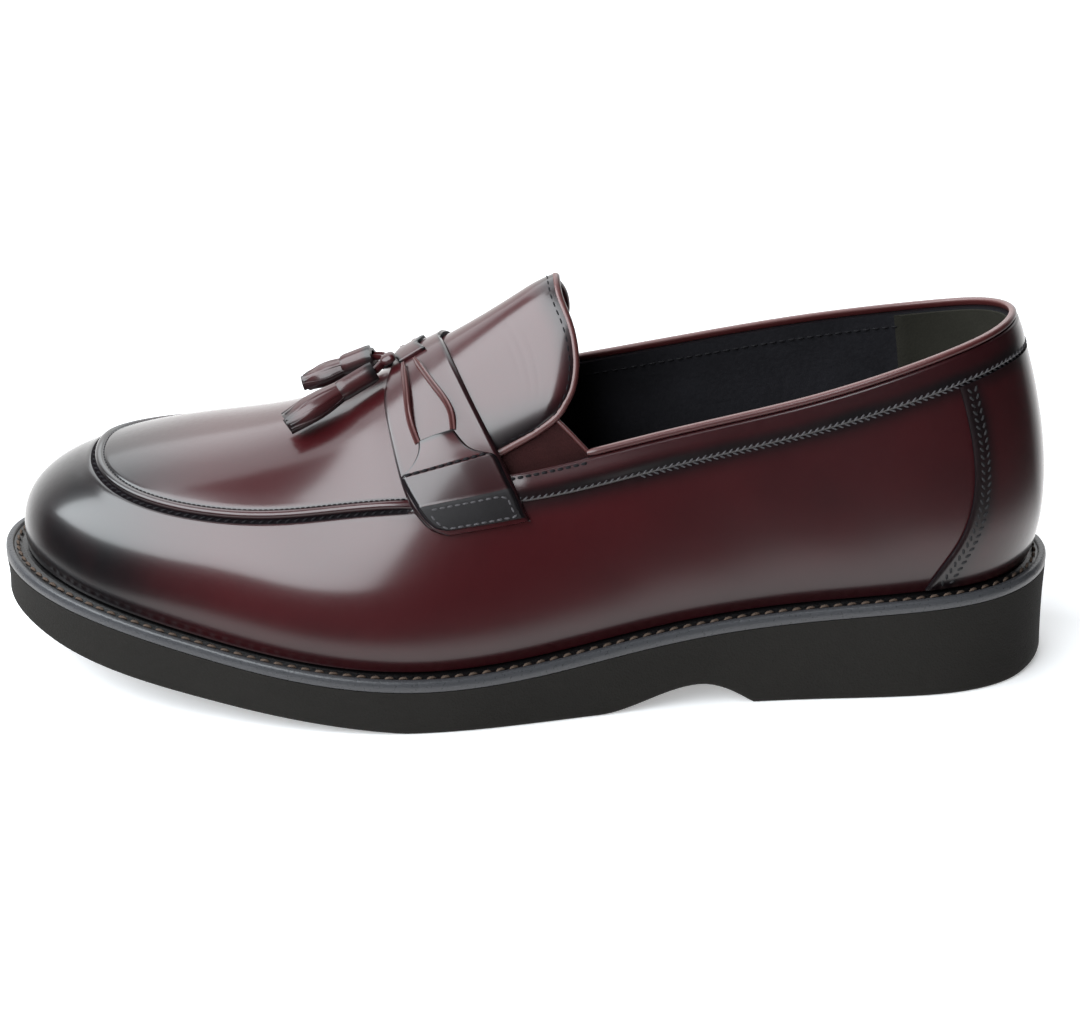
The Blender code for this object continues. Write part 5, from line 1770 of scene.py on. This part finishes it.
def make_fringe(row, hide):
    """The tassel's skirt: flat strips that leave the cap side by side and spread a little."""
    start, along, across, up = tassel_frame(row)
    s = np.linspace(0, 1, STRIP_STEPS)
    spread = fade_in(STRIP_SPREAD, s)
    size = STRIP_ROOT_SIZE + (STRIP_TIP_SIZE - STRIP_ROOT_SIZE) * spread
    belly = STRIP_BELLY * np.sin(math.pi * s**STRIP_BELLY_POWER) ** 2 - fade_in(STRIP_CLOSING, s)
    solids = []
    for i in range(STRIPS):
        angle = 2 * math.pi * (i + STRIP_TURN) / STRIPS
        side, rise = math.cos(angle) * across, math.sin(angle) * up
        reach = STRIP_REACH * row.skirt + STRIP_ROOT - STRIP_RAGGED * (i * RAGGED_STEP % STRIPS) / STRIPS
        root = STRIP_ROOT_RADIUS * (side + rise)
        tip = TASSEL_SKIRT_WIDTH * side + TASSEL_SKIRT_HEIGHT * rise
        path = start + (row.cap - STRIP_ROOT + reach * s)[:, None] * along
        path = path + root + spread[:, None] * (STRIP_TIP_OUT * tip - root) + belly[:, None] * tip
        face = unit(side / TASSEL_SKIRT_WIDTH + rise / TASSEL_SKIRT_HEIGHT)
        solids.append(sweep(path, np.broadcast_to(face, path.shape), STRIP_SECTION, size))
    points, faces = merged(solids)
    along_strip = np.linspace(0, 1, STRIP_STEPS * len(STRIP_SECTION))
    tips = np.tile(fade_in(STRIP_TIP_SHADE, along_strip), STRIPS)
    mask = np.maximum(tips, tassel_shade(row, points))
    return mesh_piece(f"tassel_fringe_{row.name}", points, faces, [hide], "tie_leather",
                      [f"tassel_skirt_{row.name}"], burnish=mask)


# Seams

# Rows of stitches beside a line of the last: distance up from the line, lift, factors of the pitch, length
# and radius of a stitch, its slant in degrees, and points of the route
Seam = namedtuple("Seam", "up lift factors slant steps")
APRON_SEAM = Seam(-1.05, -0.35, (0.9, 1.0, 1.0), 32, 900)
RIM_SEAM = Seam(2.27, 0.38, (0.55, 0.6, 0.6), 0, 900)
BAND_SEAM = Seam(0.9, 1.12, (0.7, 0.9, 0.85), 36, 900)
BAND_SECOND_SEAM = Seam(-0.25, 0.55, (0.7, 0.9, 0.85), -36, 900)
QUARTER_SEAM = Seam(-1.3, 1.3, (0.8, 0.85, 1.3), 0, ROUTE_POINTS)
LINING_SEAM = Seam(-4.4, -WALL - 0.1, (1.0, 1.0, 1.0), 0, 700)

# How far the rows run, in ribs
APRON_SEAM_UNDER_STRAP = 0.1
RIM_SEAM_UNDER_STRAP = 0.05
BAND_SECOND_SEAM_END = 4.2
QUARTER_SEAM_RIBS = (COLLAR_BINDING_END + 0.04, COLLAR_BAND_END + 0.1)

COUNTER_SEAMS = ((0.05, 34), (0.095, -34))  # inset from the front edge, and slant
COUNTER_SEAM_RISE = (0.04, 0.985)
COUNTER_SEAM_LIFT = 1.2
COUNTER_SEAM_FACTORS = (0.8, 0.9, 1.2)
TAB_SEAM_ACROSS = (0.04, 0.96)
TAB_SEAM_FACTORS = (0.85, 1.0, 1.8)
PATCH_SEAM_TOP = TAB_PATCH_TOP + 0.03
PATCH_SEAM_SIDES = (TAB_PATCH_TOP + 0.06, 0.92)
PATCH_SEAM_FOOT = 0.94
PATCH_SEAM_ACROSS = (0.12, 0.88)
PATCH_SEAM_EDGES = (0.09, 0.91)
PATCH_SEAM_FACTORS = (0.8, 0.8, 0.9)
TONGUE_SEAM_INSET = 0.026
TONGUE_SEAM_FACTORS = (1.0, 0.9, 0.7)


def sewn(detail, points, normals, factors, slant=0.0):
    """Stitches along a route. Factors scale their pitch, length and radius."""
    sizes = (detail.stitch_pitch / MM, detail.stitch_length / MM, detail.stitch_radius / MM)
    return stitches(points, normals, *np.multiply(sizes, factors), math.radians(slant))


def seam_run(detail, seam, t, line, face=1):
    """A row of stitches beside a line of the last. Face is -1 where they are seen from inside."""
    points, normals = surface_route(t, line + seam.up * share_per_mm(t, line), seam.lift, seam.steps)
    return sewn(detail, points, face * normals, seam.factors, seam.slant)


def toe_run(detail, seam, under_strap):
    """A row round the toe, from under the strap to under the strap, beside the apron's seam."""
    start = STRAP_FRONT - under_strap
    t = np.linspace(start, AROUND - start, 160)
    return seam_run(detail, seam, t, seam_share(t))


def band_runs(detail):
    """The light overcast stitches along the band's lower edge, two rows deep round the heel."""
    runs = []
    for seam, end in ((BAND_SEAM, COLLAR_BAND_END), (BAND_SECOND_SEAM, BAND_SECOND_SEAM_END)):
        t = np.linspace(-end, end, 160)
        runs.append(seam_run(detail, seam, t, seam_share(t)))
    return runs


def quarter_run(detail, side):
    """The stitches along the quarter's bare edge, from the binding's end to under the strap."""
    t = side_rib(side, np.linspace(*QUARTER_SEAM_RIBS, 20))
    return seam_run(detail, QUARTER_SEAM, t, collar_share(t))


def lining_run(detail):
    """The row of stitches inside, below the collar."""
    t = np.linspace(-COLLAR_BINDING_END, COLLAR_BINDING_END, 120)
    return seam_run(detail, LINING_SEAM, t, collar_share(t), -1)


def counter_runs(detail, side):
    """Two rows of stitches behind the counter's front edge."""
    runs = []
    for inset, slant in COUNTER_SEAMS:
        t, v = counter_place(side * (1 - inset), np.linspace(*COUNTER_SEAM_RISE, 30))
        route = surface_route(t, v, COUNTER_SEAM_LIFT)
        runs.append(sewn(detail, *route, COUNTER_SEAM_FACTORS, slant))
    return runs


def tab_run(detail, side, down, across, factors):
    """A row of stitches over one tab."""
    t, v = tab_place(down, across)
    route = surface_route(side_rib(side, t), v, tab_lift(t, across, down))
    return sewn(detail, *route, factors)


def tab_seam_run(detail, side):
    """The thick stitches in the seam across the tab."""
    across = np.linspace(*TAB_SEAM_ACROSS, 14)
    return tab_run(detail, side, np.full(14, TAB_SEAM), across, TAB_SEAM_FACTORS)


def patch_run(detail, side):
    """The light stitches round the tab's foot."""
    down = np.linspace(*PATCH_SEAM_SIDES, 8)
    across = np.linspace(*PATCH_SEAM_ACROSS, 10)
    rear, front = PATCH_SEAM_EDGES
    all_down = np.concatenate([np.full(9, PATCH_SEAM_TOP), down, np.full(10, PATCH_SEAM_FOOT), down[::-1]])
    all_across = np.concatenate([across[:0:-1], np.full(8, rear), across, np.full(8, front)])
    return tab_run(detail, side, all_down, all_across, PATCH_SEAM_FACTORS)


def tongue_run(detail):
    """The row of stitches inside the tongue's rolled edge."""
    t, v, lift = tongue_rim(TONGUE_SEAM_INSET)
    return sewn(detail, skin(t, v, lift), skin_normal(t, v), TONGUE_SEAM_FACTORS)


# Operators

TIE_ROUGHER = 0.06
TIE_POLISH = 0.7
DARK_THREAD_SECOND = 2.5
LIGHT_THREAD_SECOND = 0.4
DIM_THREAD = (0.3, 0.12)  # shares of the light thread's colour


def settings(context):
    scene = context.scene
    return scene.loafer_finish, scene.loafer_detail


def shared(name, make, *values):
    """A material that several groups of pieces wear, made for the first of them."""
    return bpy.data.materials.get(name) or make(name, *values)


def upper_leather(finish):
    return shared("upper_leather_shader", leather, finish, finish.red, finish.roughness, finish.coat)


def tie_leather(finish):
    roughness, coat = finish.roughness + TIE_ROUGHER, finish.coat * TIE_POLISH
    return shared("tie_leather_shader", leather, finish, finish.tie, roughness, coat)


def edge_ink(finish):
    return shared("edge_ink_shader", cut_edge, finish)


def rolled_leather(finish):
    return shared("rolled_leather_shader", rolled_edge, finish)


class LOAFER_OT_sole(bpy.types.Operator):
    """Make the outsole, the welt with its stitches and the sock lining"""

    bl_idname = "loafer.sole"
    bl_label = "Sole"

    def execute(self, context):
        finish, detail = settings(context)
        make_outsole(finish, detail)
        make_welt(finish)
        make_welt_thread(finish, detail)
        make_insole(finish)
        return {"FINISHED"}


class LOAFER_OT_upper(bpy.types.Operator):
    """Make the lined upper, the heel piece and the heel lining"""

    bl_idname = "loafer.upper"
    bl_label = "Upper"

    def execute(self, context):
        finish, _ = settings(context)
        lining = plain_leather("lining_leather", LINING, finish.lining)
        outside, edge = upper_leather(finish), edge_ink(finish)
        make_upper([outside, lining, edge])
        make_heel_piece([outside, outside, edge])
        make_heel_lining(finish)
        return {"FINISHED"}


class LOAFER_OT_collar(bpy.types.Operator):
    """Make the collar's padded band and its rolled edge"""

    bl_idname = "loafer.collar"
    bl_label = "Collar"

    def execute(self, context):
        finish, _ = settings(context)
        outside = upper_leather(finish)
        make_collar_band([outside, outside, edge_ink(finish)])
        make_collar_roll(rolled_leather(finish))
        return {"FINISHED"}


class LOAFER_OT_tongue(bpy.types.Operator):
    """Make the tongue, its rolled edge and the gussets"""

    bl_idname = "loafer.tongue"
    bl_label = "Tongue"

    def execute(self, context):
        finish, _ = settings(context)
        make_tongue(upper_leather(finish))
        make_tongue_roll(rolled_leather(finish))
        elastic = plain_leather("gore_elastic", ELASTIC, finish.gore)
        for name, side in SIDES:
            make_gore(name, side, elastic, rolled_leather(finish))
        return {"FINISHED"}


class LOAFER_OT_strap(bpy.types.Operator):
    """Make the saddle strap and the tabs over its ends"""

    bl_idname = "loafer.strap"
    bl_label = "Strap"

    def execute(self, context):
        finish, _ = settings(context)
        outside = upper_leather(finish)
        hides = [outside, outside, edge_ink(finish)]
        make_strap(hides)
        patch = plain_leather("patch_leather", PATCH, shade(finish.black, PATCH_TONE))
        for name, side in SIDES:
            make_tab(name, side, [*hides, patch])
        return {"FINISHED"}


class LOAFER_OT_tie(bpy.types.Operator):
    """Make the tie's strands, keeper and bend, and the tassels"""

    bl_idname = "loafer.tie"
    bl_label = "Tie and tassels"

    def execute(self, context):
        finish, _ = settings(context)
        hide = tie_leather(finish)
        for word, side in SIDES:
            make_thong("front", word, side, THONG_FRONT, rolled_leather(finish))
            make_thong("rear", word, side, THONG_REAR, rolled_leather(finish))
        make_keeper(hide)
        make_tie_bend(hide)
        for row in TASSELS:
            make_tassel_roll(row, hide)
            make_fringe(row, hide)
        return {"FINISHED"}


class LOAFER_OT_seams(bpy.types.Operator):
    """Sew the seams"""

    bl_idname = "loafer.seams"
    bl_label = "Seams"

    def execute(self, context):
        finish, detail = settings(context)
        dark = thread("dark_thread", finish.dark_thread, shade(finish.dark_thread, DARK_THREAD_SECOND))
        light = thread("light_thread", finish.light_thread, shade(finish.light_thread, LIGHT_THREAD_SECOND))
        dim = thread("dim_thread", *(shade(finish.light_thread, factor) for factor in DIM_THREAD))
        for name, side in SIDES:
            runs = [quarter_run(detail, side), tab_seam_run(detail, side)]
            mesh_piece(f"seams_{name}", *merged(runs), [dark], "upper_leather")
            mesh_piece(f"counter_seam_{name}", *merged(counter_runs(detail, side)), [dim], "upper_leather")
            mesh_piece(f"patch_seam_{name}", *patch_run(detail, side), [light], "upper_leather")
        apron = toe_run(detail, APRON_SEAM, APRON_SEAM_UNDER_STRAP)
        mesh_piece("apron_seam", *apron, [dark], "upper_leather")
        mesh_piece("tongue_seam", *tongue_run(detail), [dark], "upper_leather")
        mesh_piece("band_seam", *merged(band_runs(detail)), [light], "upper_leather")
        mesh_piece("lining_seam", *lining_run(detail), [dark], "lining")
        rim = toe_run(detail, RIM_SEAM, RIM_SEAM_UNDER_STRAP)
        mesh_piece("rim_seam", *rim, [dark], "upper_leather")
        return {"FINISHED"}


# Stage

AIM = (145.0, 0.0, 44.0)
PHOTO_WIDTH = 36.0
FLOOR_SIZE = 6.0
FLOOR_GLOW = 0.35
WHITE = (1, 1, 1, 1)

# Softboxes: azimuth as the camera's own, distance along the floor, height, size, radiance, and whether
# they stand upright
Softbox = namedtuple("Softbox", "name azimuth distance centre width height radiance upright")
SOFTBOXES = (
    Softbox("toe_window", 121, 1.3, 1.81, 3.3, 2.70, 5.7, True),
    Softbox("back_top", 12, 0.85, 1.25, 1.7, 1.1, 1.8, False),
)
SOFTBOX_TINT = (0.92, 0.97, 1.0)

# Sines of the directions where the room's light changes, and what the camera sees of the room
FLOOR_LIGHT_TOP = -0.34
FLOOR_LIGHT_FULL = -0.45
BACKDROP_EDGE = -0.45
BACKDROP_FULL = -0.80
CAMERA_WHITE = 1.1


def direction(azimuth, elevation):
    """Unit vector from the shoe towards a place seen at these angles."""
    flat = math.cos(elevation)
    return Vector((math.sin(azimuth) * flat, -math.cos(azimuth) * flat, math.sin(elevation)))


def aimed(obj, place, target):
    obj.location = place
    obj.rotation_euler = (target - place).to_track_quat("-Z", "Y").to_euler()
    bpy.context.scene.collection.objects.link(obj)


class LOAFER_OT_stage(bpy.types.Operator):
    """Set the camera, the floor and the lights"""

    bl_idname = "loafer.stage"
    bl_label = "Stage"

    def execute(self, context):
        stage = context.scene.loafer_stage
        target = Vector((np.array(AIM) - ORIGIN) * MM)
        camera = bpy.data.objects.new("camera", bpy.data.cameras.new("camera"))
        camera.data.sensor_fit = "HORIZONTAL"
        camera.data.sensor_width = PHOTO_WIDTH
        camera.data.lens = stage.lens
        aimed(camera, target + direction(stage.azimuth, stage.elevation) * stage.distance, target)
        context.scene.camera = camera
        for box in SOFTBOXES:
            self.add_softbox(box, target)
        self.add_floor(stage)
        self.add_world(context, stage)
        context.scene.view_settings.view_transform = "Standard"
        return {"FINISHED"}

    def add_softbox(self, box, target):
        light = bpy.data.lights.new(box.name, "AREA")
        light.shape = "RECTANGLE"
        light.size, light.size_y = box.width, box.height
        light.color = SOFTBOX_TINT
        light.energy = box.radiance * math.pi * box.width * box.height
        lamp = bpy.data.objects.new(box.name, light)
        place = target + direction(math.radians(box.azimuth), 0.0) * box.distance
        place.z = box.centre
        aimed(lamp, place, Vector((target.x, target.y, box.centre)) if box.upright else target)

    def add_floor(self, stage):
        half = FLOOR_SIZE / 2
        corners = [(-half, -half, 0), (half, -half, 0), (half, half, 0), (-half, half, 0)]
        mesh = bpy.data.meshes.new("floor")
        mesh.from_pydata(corners, [], [(0, 1, 2, 3)])
        shader, fibre = textured("floor_paper", PAPER, Emission_Strength=FLOOR_GLOW, Emission_Color=WHITE)
        shader.set("Base Color", shader.mix(fibre, stage.floor, shade(stage.floor, PAPER.second)))
        mesh.materials.append(shader.material)
        floor = bpy.data.objects.new("floor", mesh)
        bpy.context.scene.collection.objects.link(floor)
        floor.visible_glossy = False

    def add_world(self, context, stage):
        """White for the camera. For the shoe: a dark room with a bright floor and backdrop."""
        world = bpy.data.worlds.new("studio")
        world.use_nodes = True
        nodes = Nodes(world.node_tree)
        towards = nodes.add("ShaderNodeTexCoord", {}, {}, "Generated")
        across = nodes.add("ShaderNodeSeparateXYZ", {}, {0: towards}, "Y")
        up = nodes.add("ShaderNodeSeparateXYZ", {}, {0: towards}, "Z")
        floor = nodes.spread(up, FLOOR_LIGHT_TOP, FLOOR_LIGHT_FULL, stage.ambient, stage.underlight)
        behind = nodes.spread(across, BACKDROP_EDGE, BACKDROP_FULL, stage.ambient, stage.backdrop)
        room = nodes.add("ShaderNodeMath", {"operation": "MAXIMUM"}, {0: floor, 1: behind})
        camera = nodes.add("ShaderNodeLightPath", {}, {}, "Is Camera Ray")
        strength = room + camera * (CAMERA_WHITE - room)
        background = world.node_tree.nodes["Background"]
        background.inputs["Color"].default_value = WHITE
        nodes.feed(background.inputs["Strength"], strength)
        context.scene.world = world


class LOAFER_PT_looks(bpy.types.Panel):
    """Buttons for each group of pieces, and their settings"""

    bl_label = "Tassel loafer"
    bl_space_type = "VIEW_3D"
    bl_region_type = "UI"
    bl_category = "Loafer"

    def draw(self, context):
        for operator in OPERATORS:
            self.layout.operator(operator.bl_idname)
        for group in (context.scene.loafer_finish, context.scene.loafer_detail, context.scene.loafer_stage):
            box = self.layout.box()
            for key in group.__annotations__:
                box.prop(group, key)


OPERATORS = (
    LOAFER_OT_sole,
    LOAFER_OT_upper,
    LOAFER_OT_collar,
    LOAFER_OT_tongue,
    LOAFER_OT_strap,
    LOAFER_OT_tie,
    LOAFER_OT_seams,
    LOAFER_OT_stage,
)
GROUPS = {"loafer_finish": LoaferFinish, "loafer_detail": LoaferDetail, "loafer_stage": LoaferStage}


def register():
    for group in GROUPS.values():
        bpy.utils.register_class(group)
    for key, group in GROUPS.items():
        setattr(bpy.types.Scene, key, bpy.props.PointerProperty(type=group))
    for kind in (*OPERATORS, LOAFER_PT_looks):
        bpy.utils.register_class(kind)


def unregister():
    for kind in reversed((*OPERATORS, LOAFER_PT_looks)):
        bpy.utils.unregister_class(kind)
    for key in GROUPS:
        delattr(bpy.types.Scene, key)
    for group in reversed(GROUPS.values()):
        bpy.utils.unregister_class(group)


def main():
    register()
    bpy.ops.loafer.sole()
    bpy.ops.loafer.upper()
    bpy.ops.loafer.collar()
    bpy.ops.loafer.tongue()
    bpy.ops.loafer.strap()
    bpy.ops.loafer.tie()
    bpy.ops.loafer.seams()
    bpy.ops.loafer.stage()


if __name__ == "__main__":
    main()
